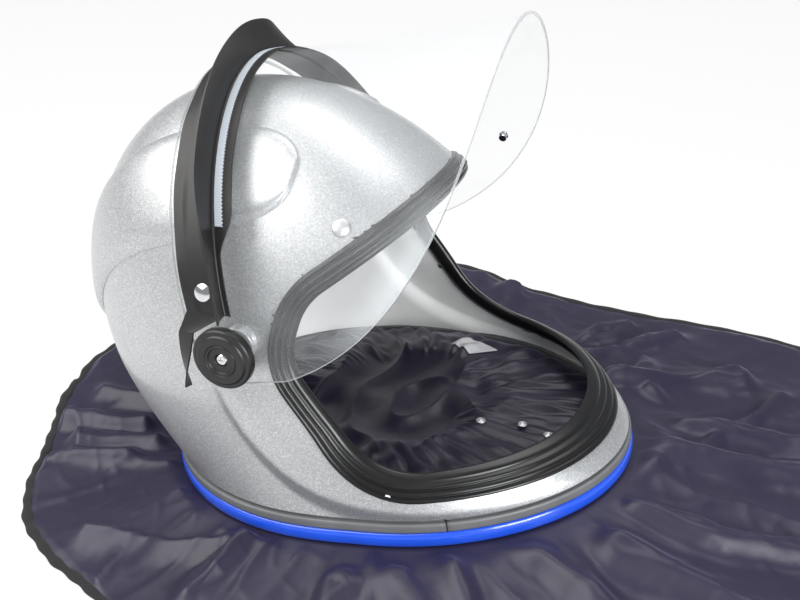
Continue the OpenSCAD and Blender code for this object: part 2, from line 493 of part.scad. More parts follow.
module at_visor_low(s, d) { at_sheet(s, norm(up_pt(s) - low_pt(s)) - d) children(); }
module visor_studs() {
    color("gainsboro") helmet() at_pivot() for (q = stud_at) at_visor_low(q[0], q[1]) {
        translate([0, 0, -visor_t / 2 - 0.5]) cylinder(r = 1.5, h = visor_t + 1);
        translate([0, 0, visor_t / 2 + 0.3]) rotate_extrude() polygon([[0, 0], [3.4, 0], [3, 1.1], [1.6, 1.8], [0, 1.9]]);
        translate([0, 0, -visor_t / 2 - 1.3]) cylinder(r = 2.8, h = 1);
    }
}

// Flaps along the upper edge: the front one stands up from its seam and lies down towards both ends
base_h = visor_t / 2 + 0.2;
function lay_down(s) = 4 - 16 * ss((-s - 0.5) / 0.3) + 82 * ss((s - 0.1) / 0.32);
front_s = [for (i = [-24 : 24]) i / 24 * 0.86];
function front_loop(s) = let(g = lay_down(s), d = [-sin(g), cos(g)], p = [cos(g), sin(g)] * vinyl / 2, c = [seam_e, base_h + vinyl * 1.6])
    let(line = [c, c + d * flap_w * 0.5, c + d * flap_w]) concat(
    [[seam_e + flange_w, base_h + vinyl], [seam_e + 2.4, base_h + vinyl]], [for (q = line) q + p], [for (q = [2, 1, 0]) line[q] - p],
    [[seam_e + 2.4, base_h], [seam_e + flange_w, base_h]]);
module flap_front() {
    color("black") helmet() difference() {
        at_pivot() skin([for (s = front_s) [for (q = front_loop(s)) sheet_pt(s, q[0], q[1])]]);
        at_pivot() for (q = rivet_s) at_sheet(q[0], q[1]) translate([0, 0, -12]) cylinder(r = shank_r + fit_gap, h = 24);
    }
}
rear_s = [for (i = [-24 : 24]) i / 24 * 0.87];
function rear_loop(s) = [for (q = [[rear_e, base_h + vinyl * 0.9], [rear_e + 11, base_h + vinyl * 0.9], [seam_e - 3, base_h + vinyl * 0.9],
    [seam_e - 3, base_h], [rear_e + 11, base_h], [rear_e, base_h]]) sheet_pt(s, q[0], q[1])];
tail = [[-24, -139.5, 14, 10], [-26, -140.5, 2, 35], [-27.5, -141.5, -10, 65], [-28, -142, -22, 95]];
function tail_loop(q) = let(c = [q[0], q[1], q[2]], w = [cos(q[3]), -0.5 * sin(q[3]), 0.1] * 5.5, n = [sin(q[3]), 1, 0] * vinyl * 0.45)
    [c - w - n, c - n, c + w - n, c + w + n, c + n, c - w + n];
module flap_rear() {
    color("black") helmet() difference() {
        at_pivot() skin(concat([for (k = [3 : -1 : 0]) tail_loop(tail[k])], [for (s = rear_s) rear_loop(s)]));
        at_pivot() for (q = rivet_s) at_sheet(q[0], q[1]) translate([0, 0, -12]) cylinder(r = shank_r + fit_gap, h = 24);
    }
}
module flap_tape() {
    color("lightslategray") helmet() at_pivot() skin([for (i = [-20 : 13]) let(s = i / 20 * 0.64) [for (q = [
        [seam_e + 2.4, base_h + vinyl + 0.1], [seam_e + 2.4 + tape_w, base_h + vinyl + 0.1], [seam_e + 2.4 + tape_w, base_h + vinyl + 0.5],
        [seam_e + 2.4, base_h + vinyl + 0.5]]) sheet_pt(s, q[0], q[1])]]);
}
module dome(r, h) { rotate_extrude() polygon(concat([[0, 0], [r, 0], [r, 0.5]], [for (a = [15 : 15 : 90]) [r * cos(a), 0.5 + (h - 0.5) * sin(a)]])); }
function flap_top(q) = base_h + vinyl * 1.1 + (q[0] > 0 ? vinyl + (seam_e - q[1] + rivet_r) * cos(84) : 0) + 0.2;
module flap_rivets() {
    color("gainsboro") helmet() at_pivot() for (q = rivet_s) at_sheet(q[0], q[1]) {
        translate([0, 0, -visor_t / 2 - 1.5]) cylinder(r = shank_r, h = flap_top(q) + visor_t / 2 + 1.8);
        translate([0, 0, flap_top(q)]) dome(rivet_r, 2.6);
        translate([0, 0, -visor_t / 2 - 1.5]) cylinder(r = 4, h = 1.2);
    }
}

// Pivot stack on each side, from the nut inside the shell to the screw in the knob
visor_in = visor_b - visor_t / 2;
visor_out = visor_b + visor_t / 2;
knob_foot = visor_out + run_gap;
knob_top = knob_foot + knob_h;
seat_z = knob_top - 1.2 - head_h;
module bush() {
    right_pivot() rotate_extrude() polygon([[screw_r + fit_gap, boss_out - spigot_in + 0.3], [spindle_r, boss_out - spigot_in + 0.3], [spindle_r, boss_out],
        [shoulder_r, boss_out], [shoulder_r, visor_in - run_gap], [spindle_r, visor_in - run_gap], [spindle_r, visor_out + run_gap / 2],
        [screw_r + fit_gap, visor_out + run_gap / 2]]);
}
module knob() {
    right_pivot() rotate_extrude() polygon([[screw_r + fit_gap, knob_foot], [knob_r - 0.8, knob_foot], [knob_r, knob_foot + 0.8], [knob_r, knob_top - knob_step - 1],
        [knob_r - 1, knob_top - knob_step], [knob_r * 0.8, knob_top - knob_step], [knob_r * 0.77, knob_top], [knob_r * 0.5, knob_top],
        [knob_r * 0.46, knob_top - 0.8], [knob_r * 0.4, knob_top - 0.8], [knob_r * 0.37, knob_top], [head_r + 0.4, knob_top],
        [head_r + 0.4, seat_z - 0.2], [screw_r + fit_gap, seat_z - 0.2]]);
}
module screw() {
    right_pivot() difference() {
        rotate_extrude() polygon([[0, boss_out - boss_t - 7], [screw_r, boss_out - boss_t - 7], [screw_r, seat_z], [head_r, seat_z], [head_r, seat_z + head_h * 0.5],
            [head_r * 0.75, seat_z + head_h * 0.85], [head_r * 0.35, seat_z + head_h], [0, seat_z + head_h]]);
        translate([0, 0, seat_z + head_h - 0.6]) cube([head_r * 1.1, 0.9, 1.8], center = true);
        translate([0, 0, seat_z + head_h - 0.6]) cube([0.9, head_r * 1.1, 1.8], center = true);
    }
}
module nut() {
    right_pivot() translate([0, 0, boss_out - boss_t]) rotate([180, 0, 0]) difference() {
        union() { cylinder(r = 9, h = 1.6); cylinder(r = 6, h = 6, $fn = 6); }
        translate([0, 0, -1]) cylinder(r = screw_r + fit_gap, h = 8);
    }
}
module knob_right() { color("black") helmet() knob(); }
module knob_left() { color("black") helmet() mirror([0, 1, 0]) knob(); }
module pivot_bush_right() { color("dimgray") helmet() bush(); }
module pivot_bush_left() { color("dimgray") helmet() mirror([0, 1, 0]) bush(); }
module pivot_screw_right() { color("silver") helmet() screw(); }
module pivot_screw_left() { color("silver") helmet() mirror([0, 1, 0]) screw(); }
module pivot_nut_right() { color("silver") helmet() nut(); }
module pivot_nut_left() { color("silver") helmet() mirror([0, 1, 0]) nut(); }

// Harness: rivets through the shell carry the straps and the hangers of the headband
strap_in = wall + 0.9;
hang_in = strap_in + 2 * (strap_t + 0.35) + 0.8;
tail_in = hang_in + strap_t + 0.5;
module harness_rivets() {
    color("silver") helmet() for (q = rivet_at) at_shell(q) {
        translate([0, 0, -tail_in - 1.4]) cylinder(r = shank_r, h = tail_in + 1.6);
        translate([0, 0, 0.15]) dome(rivet_r, 2.8);
        translate([0, 0, -tail_in - 1.4]) cylinder(r = 4.4, h = 1.2);
    }
}
function arc_dir(a, b, t) = let(w = acos(clamp(a * b, -1, 1))) (a * sin(w * (1 - t)) + b * sin(w * t)) / sin(w);
function strap_loop(a, b, t, deep) = let(d = arc_dir(a, b, t), n = unit(cross(a, b)) * strap_w / 260,
    o = -(deep + strap_sag * pow(max(0, sin(180 * clamp((t - 0.09) / 0.82, 0, 1))), 0.8)))
    let(p = unit(d - n), q = unit(d + n)) [ray_d(p, o), ray_d(d, o), ray_d(q, o), ray_d(q, o - strap_t), ray_d(d, o - strap_t), ray_d(p, o - strap_t)];
strap_t_at = [-0.025, 0, 0.04, 0.09, 0.14, 0.2, 0.26, 0.32, 0.38, 0.44, 0.5, 0.56, 0.62, 0.68, 0.74, 0.8, 0.86, 0.91, 0.95, 1, 1.04];
module strap(side, deep_rear) {
    a = unit(ray_pt(rivet_at[0][0], side * abs(rivet_at[0][1]), 0) - centre);
    b = unit(ray_pt(rivet_at[2][0], 0, 0) - centre);
    difference() {
        skin([for (t = strap_t_at) strap_loop(a, b, t, strap_in + (deep_rear ? (strap_t + 0.35) * ss((t - 0.62) / 0.26) : 0))]);
        for (q = rivet_at) at_shell(q) translate([0, 0, -tail_in - 4]) cylinder(r = shank_r + fit_gap, h = tail_in + 4);
    }
}
module crown_strap_right() { color("darkslategray") helmet() strap(-1, false); }
module crown_strap_left() { color("darkslategray") helmet() strap(1, true); }
pad_deep = strap_in + strap_sag + strap_t + 0.5;
module crown_pad() {
    color("dimgray") helmet() skin([for (i = [-6 : 6]) let(al = 112 + i * 3.4, w = 39 * sqrt(1 - pow(i / 6.6, 2))) concat(
        [for (k = [-4 : 4]) ray_pt(al, w * k / 4, -pad_deep)],
        [for (k = [4 : -1 : -4]) ray_pt(al, w * k / 4, -pad_deep - 2 - 7 * sqrt(1 - pow(k / 4.4, 2)) * sqrt(1 - pow(i / 6.6, 2)))])]);
}
function hb_level(x) = hb_z + hb_tilt * (x - hb_x);
function hb_pt(a, o, h) = let(x = hb_x + (hb_a + o) * cos(a)) [x, (hb_b + o) * sin(a), hb_level(x) + h];
function hb_loop(a, o) = [hb_pt(a, o, -hb_h / 2), hb_pt(a, o, hb_h / 2), hb_pt(a, o - hb_t, hb_h / 2), hb_pt(a, o - hb_t, -hb_h / 2)];
module headband() { color("black") helmet() skin([for (a = [-142 : 5.68 : 142]) hb_loop(a, 0)]); }
module brow_pad() {
    color("dimgray") helmet() skin([for (i = [-10 : 10]) let(a = i * 5, t = 1.5 + 5 * sqrt(1 - pow(i / 10.6, 2)), o = -hb_t - 0.3, h = hb_h / 2 - 1) [
        hb_pt(a, o, -h), hb_pt(a, o, 0), hb_pt(a, o, h), hb_pt(a, o - t * 0.7, h - 1), hb_pt(a, o - t, 0), hb_pt(a, o - t * 0.7, 1 - h)]]);
}
hang_r = 6.5;
module hang_top(q) { at_shell(q) translate([0, 0, -hang_in - strap_t]) cylinder(r = hang_r, h = strap_t, $fn = 24); }
module hang_turn(side) {
    n = ray_n(165, 0);
    along(ray_pt(165, 0, 0) - n * (hang_in + strap_t + 5) + [0, side * 11, 0], unit([-0.5, side * 0.87, 0])) cylinder(r = hang_r, h = strap_t, $fn = 24);
}
module hang_low(a) { along(hb_pt(a, bond_gap, 0), unit([cos(a) / hb_a, sin(a) / hb_b, 0])) cylinder(r = hang_r, h = strap_t, $fn = 24); }
module headband_hangers() {
    color("darkslategray") helmet() difference() {
        union() {
            hull() { hang_top(rivet_at[0]); hang_low(-52); }
            hull() { hang_top(rivet_at[1]); hang_low(52); }
            hull() { hang_top(rivet_at[2]); hang_turn(-1); }
            hull() { hang_turn(-1); hang_low(-136); }
            hull() { hang_top(rivet_at[2]); hang_turn(1); }
            hull() { hang_turn(1); hang_low(136); }
        }
        for (q = rivet_at) at_shell(q) translate([0, 0, -tail_in - 8]) cylinder(r = shank_r + fit_gap, h = tail_in + 8);
        for (q = rivet_at) at_shell(q) translate([0, 0, -hang_in - strap_t - 12]) cylinder(r = 5, h = 12);
    }
}
rear_o = -hb_t - 0.4;
module headband_rear() {
    color("black") helmet() skin([for (i = [-12 : 12]) let(a = 180 + i * 4.5) hb_loop(a, rear_o)]);
}
ratchet_x = hb_x - hb_a - rear_o;
ratchet_pt = [ratchet_x, 0, hb_level(ratchet_x)];
module ratchet_housing() {
    color("black") helmet() translate(ratchet_pt) rotate([0, -90, 0]) difference() {
        translate([-15, -24, bond_gap]) cube([30, 48, 10]);
        translate([0, 0, 2]) cylinder(r = 4 + fit_gap, h = 10);
    }
}
module ratchet_knob() {
    color("dimgray") helmet() translate(ratchet_pt) rotate([0, -90, 0]) difference() {
        rotate_extrude() polygon([[0, 2.4], [4, 2.4], [4, 10.3 + run_gap], [15, 10.3 + run_gap], [16, 12], [16, 19], [14.5, 21], [0, 21]]);
        for (a = [0 : 30 : 330]) rotate([0, 0, a]) translate([17.4, 0, 10]) cylinder(r = 2.4, h = 14);
    }
}

// Air: spigot at the nape, ports and foam diffusers at the temples
module air_ports() {
    color("dimgray") helmet() for (q = port_at) at_shell(q) rotate_extrude() polygon([[port_r, bond_gap + 0.6], [port_r + 1.5, bond_gap + 0.6],
        [port_r + 1.5, -wall - 1.2], [port_r + 6, -wall - 1.2], [port_r + 6, -wall - 3], [port_r + 1.5, -wall - 3], [port_r + 1.5, -wall - 10.5], [port_r, -wall - 10.5]]);
}
module air_diffusers() {
    color("darkgray") helmet() for (q = port_at) at_shell(q) translate([0, 0, -wall - 10.5]) difference() {
        cylinder(r = port_r + 6.5, h = 7.3);
        translate([0, 0, -1]) cylinder(r = port_r + 1.5 + fit_gap, h = 12);
    }
}
gasket_t = 1.5;
neck_r0 = spigot_bore + 2;
module air_inlet() {
    color("black") helmet() at_inlet() translate([0, 0, inlet_boss + gasket_t]) rotate_extrude() polygon([
        [spigot_bore, -inlet_boss - gasket_t - inlet_deep - 8], [neck_r0, -inlet_boss - gasket_t - inlet_deep - 8], [neck_r0, 0], [spigot_r + 6, 0],
        [spigot_r + 6, 3.5], [spigot_r, 3.5], [spigot_r, 3.5 + spigot_l], [spigot_bore, 3.5 + spigot_l]]);
}
module inlet_gasket() {
    color("dimgray") helmet() at_inlet() translate([0, 0, inlet_boss]) difference() {
        cylinder(r = spigot_r + 5.5, h = gasket_t);
        translate([0, 0, -1]) cylinder(r = neck_r0 + fit_gap, h = 5);
    }
}
module inlet_nut() {
    color("black") helmet() at_inlet() translate([0, 0, -inlet_deep - 6]) difference() {
        cylinder(r = neck_r0 + 6, h = 6, $fn = 6);
        translate([0, 0, -1]) cylinder(r = neck_r0 + fit_gap, h = 8);
    }
}

shell();
duct_cowl();
opening_seal();
rim_profile();
cape_band();
cape();
cape_hem();
inner_collar();
collar_label();
collar_snaps();
visor();
visor_studs();
flap_front();
flap_rear();
flap_tape();
flap_rivets();
knob_right();
knob_left();
pivot_bush_right();
pivot_bush_left();
pivot_screw_right();
pivot_screw_left();
pivot_nut_right();
pivot_nut_left();
harness_rivets();
crown_strap_right();
crown_strap_left();
crown_pad();
headband_hangers();
headband();
brow_pad();
headband_rear();
ratchet_housing();
ratchet_knob();
air_ports();
air_diffusers();
air_inlet();
inlet_gasket();
inlet_nut();
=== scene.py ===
"""Ventilated visor helmet: smooth surfaces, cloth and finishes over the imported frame.

The forms are worked out in millimetres about the helmet's own rim plane, x towards
the face, y to the wearer's left and z up, and are then tilted, lifted and set down
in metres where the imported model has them.
"""

import functools
import json
import math
from types import SimpleNamespace

import bpy
import bmesh
import numpy as np
from bpy.props import FloatProperty, FloatVectorProperty, PointerProperty
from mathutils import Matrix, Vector


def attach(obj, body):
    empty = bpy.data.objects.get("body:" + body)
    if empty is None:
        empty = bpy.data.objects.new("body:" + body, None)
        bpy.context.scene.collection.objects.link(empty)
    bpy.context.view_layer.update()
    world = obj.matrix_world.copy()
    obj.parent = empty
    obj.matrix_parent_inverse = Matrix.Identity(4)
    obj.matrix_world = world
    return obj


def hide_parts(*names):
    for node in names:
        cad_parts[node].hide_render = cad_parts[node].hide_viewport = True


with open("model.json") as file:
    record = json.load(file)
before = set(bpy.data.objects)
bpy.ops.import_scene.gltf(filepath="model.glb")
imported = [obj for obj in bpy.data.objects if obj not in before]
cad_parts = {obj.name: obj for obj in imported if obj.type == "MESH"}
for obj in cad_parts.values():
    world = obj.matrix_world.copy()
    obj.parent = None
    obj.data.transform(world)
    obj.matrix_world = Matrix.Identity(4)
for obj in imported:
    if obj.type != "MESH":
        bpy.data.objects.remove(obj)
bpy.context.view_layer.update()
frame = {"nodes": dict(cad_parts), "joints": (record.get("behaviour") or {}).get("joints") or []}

bl_info = {
    "name": "Ventilated Visor Helmet",
    "version": (1, 0, 0),
    "blender": (4, 5, 0),
    "location": "3D View > Sidebar > Helmet",
    "description": "Builds a work helmet with a raised visor on its spread cape",
    "category": "Object",
}

SIDES = ((-1, "right"), (1, "left"))
HEAD = np.array([-40.0, 0, 120.0])      # inside every sheet that goes over the head
BELOW = np.array([10.0, 0, -60.0])      # under the collar
UNDER_FLOOR = (0, 0, -5)                # in metres


# ---------------------------------------------------------------- sizes and colours

def length(name, about, default):
    return FloatProperty(name=name, description=about, default=default,
                         unit="LENGTH", subtype="DISTANCE", precision=4)


def lengths(name, about, default):
    return FloatVectorProperty(name=name, description=about, default=default,
                               size=len(default), unit="LENGTH", precision=4)


def ratio(name, about, default):
    return FloatProperty(name=name, description=about, default=default, precision=3)


def angle(name, about, degrees):
    return FloatProperty(name=name, description=about, default=math.radians(degrees),
                         unit="ROTATION", subtype="ANGLE")


def colour(name, about, default):
    return FloatVectorProperty(name=name, description=about, default=default,
                               size=3, subtype="COLOR", min=0, max=1)


class HelmetShell(bpy.types.PropertyGroup):
    half_w: length("Half width", "Half the width of the shell at its widest level", 0.125)
    belt: length("Belt level", "Level of the widest section over the rim", 0.064)
    crown: length("Crown height", "Height of the crown over the rim", 0.244)
    dome: ratio("Dome power", "Roundness of the dome, where 2 is an ellipse", 1.96)
    front: length("Front reach", "Reach of the forehead", 0.154)
    rear: length("Rear reach", "Reach of the back of the head", 0.168)
    chin: length("Chin", "How far the chin runs out past the forehead", 0.0285)
    nape: length("Nape", "How far the nape draws in", 0.028)
    flare: length("Side flare", "How far the sides flare at the rim", 0.008)
    lean: ratio("Lean", "Backward lean of the middle per unit of height", 0.2)
    shift: length("Crown shift", "Extra backward shift of the crown", 0.010)
    plan: FloatVectorProperty(name="Plan powers", default=(2.0, 2.25, 2.1), size=3,
                              description="Squareness of the plan at rim, belt and crown")
    wall: length("Wall", "Wall of the moulding", 0.004)
    crease: lengths("Crease", "Height, slope above, slope below, low level, rise and run "
                    "of the cheek crease", (0.006, 0.048, 0.014, 0.004, 0.074, 0.038))
    lift: length("Lift", "Level of the rim's middle over the floor", 0.037)
    pitch: angle("Pitch", "Nose-up tilt at which the helmet lies", 5.6)


class HelmetOpening(bpy.types.PropertyGroup):
    brow: lengths("Brow", "Side view point of the brow leg", (0.1106, 0.2071))
    temple: lengths("Temple", "Side view corner at the temple", (0.0062, 0.1442))
    cheek: lengths("Cheek", "Side view corner at the cheek", (-0.0073, 0.1002))
    jaw: lengths("Jaw", "Side view corner at the jaw", (0.0468, 0.0155))
    chin: lengths("Chin", "Side view end of the chin leg", (0.260, 0.011))
    radii: lengths("Corner radii", "Radii at the temple, cheek and jaw", (0.045, 0.047, 0.073))
    lip: length("Seal lip", "Width of the lip over the shell", 0.0024)
    bulb: length("Seal bulb", "Reach of the bulb into the opening", 0.0126)
    rise: length("Seal height", "Height of the seal over the shell", 0.0036)


class HelmetRim(bpy.types.PropertyGroup):
    groove: length("Groove", "Depth of the dark groove under the shell", 0.0025)
    profile: length("Profile", "Height of the grey profile", 0.0065)
    band: length("Band", "Height of the clamping band", 0.0105)
    bulge: length("Bulge", "How far the band bulges out", 0.003)
    depth: length("Depth", "Thickness of profile and band", 0.006)
    butt: angle("Butt joint", "Where the profile's ends meet", -58)


class HelmetVisor(bpy.types.PropertyGroup):
    pivot: lengths("Pivot", "Pivot ahead of and over the middle of the rim", (-0.024, 0.113))
    half: length("Half width", "Half the width of the sheet", 0.136)
    sheet: length("Sheet", "Thickness of the sheet", 0.002)
    tab: length("Tab radius", "Radius of the round end at the pivot", 0.020)
    low_reach: length("Lower reach", "Reach of the lower edge across its tilted plane", 0.214)
    low_power: ratio("Lower power", "Squareness of the lower edge", 1.93)
    low_tilt: angle("Lower tilt", "Tilt of the lower edge", 68.6)
    low_depth: lengths("Lower depths", "Depths that shape the lower edge from middle to pivot",
                       (-0.081, -0.067, -0.024, 0.1325))
    up_height: length("Upper height", "Height of the upper edge over the pivot", 0.141)
    up_power: ratio("Upper power", "Squareness of the upper edge", 1.91)
    up_x: lengths("Upper place", "Upper edge ahead of the pivot, at the middle and at the side",
                  (-0.057, -0.021))


class HelmetFlap(bpy.types.PropertyGroup):
    vinyl: length("Vinyl", "Thickness of the vinyl", 0.0012)
    seam: length("Seam", "Line of the seam in front of the upper edge", 0.030)
    width: length("Flap width", "Free width of the front flap", 0.020)
    flange: length("Flange", "Width of the flange in front of the seam", 0.013)
    rear: length("Rear edge", "Distance of the rear flap from the sheet's upper edge", 0.004)
    tape: length("Tape", "Width of the pinked tape", 0.005)
    pink: length("Pinking", "Depth of the tape's zigzag edge", 0.0011)
    rivet: length("Rivet radius", "Radius of the dome rivets", 0.0058)


class HelmetKnob(bpy.types.PropertyGroup):
    radius: length("Radius", "Radius of the pivot knob", 0.0196)
    height: length("Height", "Height of the pivot knob", 0.008)
    step: length("Step", "Height of the step round its face", 0.0012)
    head: length("Screw head", "Radius of the screw's head", 0.0039)
    gap: length("Gap", "Running gap under the knob", 0.0004)


class HelmetDuct(bpy.types.PropertyGroup):
    rise: length("Rise", "Height of the duct over the shell", 0.0042)
    edge: ratio("Edge", "Sharpness of the duct's edge", 7.0)


class HelmetCape(bpy.types.PropertyGroup):
    reach: lengths("Reach", "Reach from the middle, every 20 degrees from the front",
                   (0.428, 0.420, 0.403, 0.322, 0.298, 0.325, 0.320, 0.300, 0.280,
                    0.262, 0.245, 0.251, 0.236, 0.240, 0.275, 0.330, 0.385, 0.420))
    hem: length("Hem", "Width of the binding", 0.007)
    crumple: length("Crumples", "Height of the small creases", 0.0026)
    cloth: length("Cloth", "Thickness of the cloth", 0.0009)
    neck: length("Neck", "Radius of the neck hole", 0.058)
    collar: length("Collar", "Height of the collar over the rim", 0.017)


class HelmetColours(bpy.types.PropertyGroup):
    silver: colour("Silver", "Flake in the shell", (0.62, 0.63, 0.64))
    primer: colour("Primer", "Inside of the shell", (0.84, 0.84, 0.83))
    rubber: colour("Rubber", "Seal", (0.006, 0.006, 0.0065))
    profile: colour("Profile", "Grey edging", (0.16, 0.165, 0.17))
    band: colour("Band", "Blue clamping band", (0.014, 0.095, 0.78))
    cape: colour("Cape", "Nylon cape", (0.016, 0.013, 0.034))
    binding: colour("Binding", "Hem binding", (0.004, 0.004, 0.005))
    vinyl: colour("Vinyl", "Flaps", (0.014, 0.013, 0.013))
    knob: colour("Knob", "Moulded knob", (0.011, 0.011, 0.011))
    tape: colour("Tape", "Pinked tape", (0.55, 0.6, 0.66))
    visor: colour("Visor", "Clear sheet", (0.80, 0.84, 0.86))
    label: colour("Label", "Blank label", (0.5, 0.5, 0.51))
    webbing: colour("Webbing", "Harness webbing", (0.045, 0.05, 0.055))
    foam: colour("Foam", "Pads", (0.11, 0.11, 0.115))
    gasket: colour("Gasket", "Gasket of the inlet", (0.03, 0.03, 0.03))
    plastic: colour("Harness plastic", "Headband and ratchet", (0.02, 0.02, 0.022))
    fitting: colour("Fittings", "Bushes, ports and inlet", (0.03, 0.03, 0.031))
    plated: colour("Plated", "Bright screws and rivets", (0.82, 0.83, 0.85))
    zinc: colour("Zinc", "Dull studs, nuts and rivets", (0.7, 0.71, 0.72))


GROUPS = {"shell": HelmetShell, "opening": HelmetOpening, "rim": HelmetRim,
          "visor": HelmetVisor, "flap": HelmetFlap, "knob": HelmetKnob,
          "duct": HelmetDuct, "cape": HelmetCape, "colours": HelmetColours}


def sizes(part):
    """The values of a property group, with its lengths in millimetres."""
    group = getattr(bpy.context.scene, "helmet_" + part)
    out = SimpleNamespace()
    for key, prop in group.bl_rna.properties.items():
        if key in ("rna_type", "name"):
            continue
        value = getattr(group, key)
        if getattr(prop, "array_length", 0):
            value = np.array(value)
        if getattr(prop, "unit", "") == "LENGTH":
            value = value * 1000.0
        setattr(out, key, value)
    return out


# ---------------------------------------------------------------- curves and forms

def ease(t):
    """Smooth step from 0 to 1: 3t2 - 2t3."""
    u = np.clip(t, 0, 1)
    return u * u * (3 - 2 * u)


def power(v, e):
    """Signed power, sign(v) |v|^e, as a superellipse needs."""
    return np.sign(v) * np.abs(v) ** e


def unit(v):
    """Vectors over their own lengths."""
    return v / np.maximum(np.linalg.norm(v, axis=-1, keepdims=True), 1e-12)


def full_turn(n):
    """Angles of n even steps round a circle."""
    return np.linspace(0, 2 * np.pi, n, endpoint=False)


def grid(u, v):
    """Every pair of two rows of parameters, as two arrays."""
    return np.meshgrid(u, v, indexing="ij")


def catmull(points, t, closed=False):
    """Catmull-Rom curve through rows of points, at parameters t counted in points."""
    points = np.asarray(points, float)
    n, i = len(points), np.floor(t).astype(int)
    if not closed:
        i = np.clip(i, 0, n - 2)
    f = t - i
    if points.ndim > 1:
        f = f[..., None]
    a, b, c, d = (points[(i + k) % n if closed else np.clip(i + k, 0, n - 1)]
                  for k in (-1, 0, 1, 2))
    return b + 0.5 * f * ((c - a) + f * ((2 * a - 5 * b + 4 * c - d) + f * (3 * (b - c) + d - a)))


RIPPLE_WAVES = 14


def ripple(x, y, wave, seed):
    """Smooth random field in about -1..1: a sum of sine waves of like length, whose
    directions and phases are seeded."""
    rng = np.random.default_rng(seed)
    out = np.zeros(np.broadcast(x, y).shape)
    for _ in range(RIPPLE_WAVES):
        turn, phase = rng.uniform(0, 2 * np.pi), rng.uniform(0, 2 * np.pi)
        k = 2 * np.pi / (wave * rng.uniform(0.7, 1.5))
        out += np.sin(k * (x * np.cos(turn) + y * np.sin(turn)) + phase)
    return out / np.sqrt(RIPPLE_WAVES) * 0.75


def creased(x, y, wave, seed, sharp):
    """Ridges of 0 to 1 along the zero lines of a ripple: (1 - |ripple|)^sharp."""
    return np.clip(1 - np.abs(ripple(x, y, wave, seed)), 0, 1) ** sharp


def along(point, axis):
    """A frame at a point whose third axis is the given one: (3 x 3 columns, origin)."""
    z = unit(np.asarray(axis, float))
    x = unit(np.cross([0, 1, 0] if abs(z[1]) < 0.9 else [1, 0, 0], z))
    return np.stack([x, np.cross(z, x), z], -1), np.asarray(point, float)


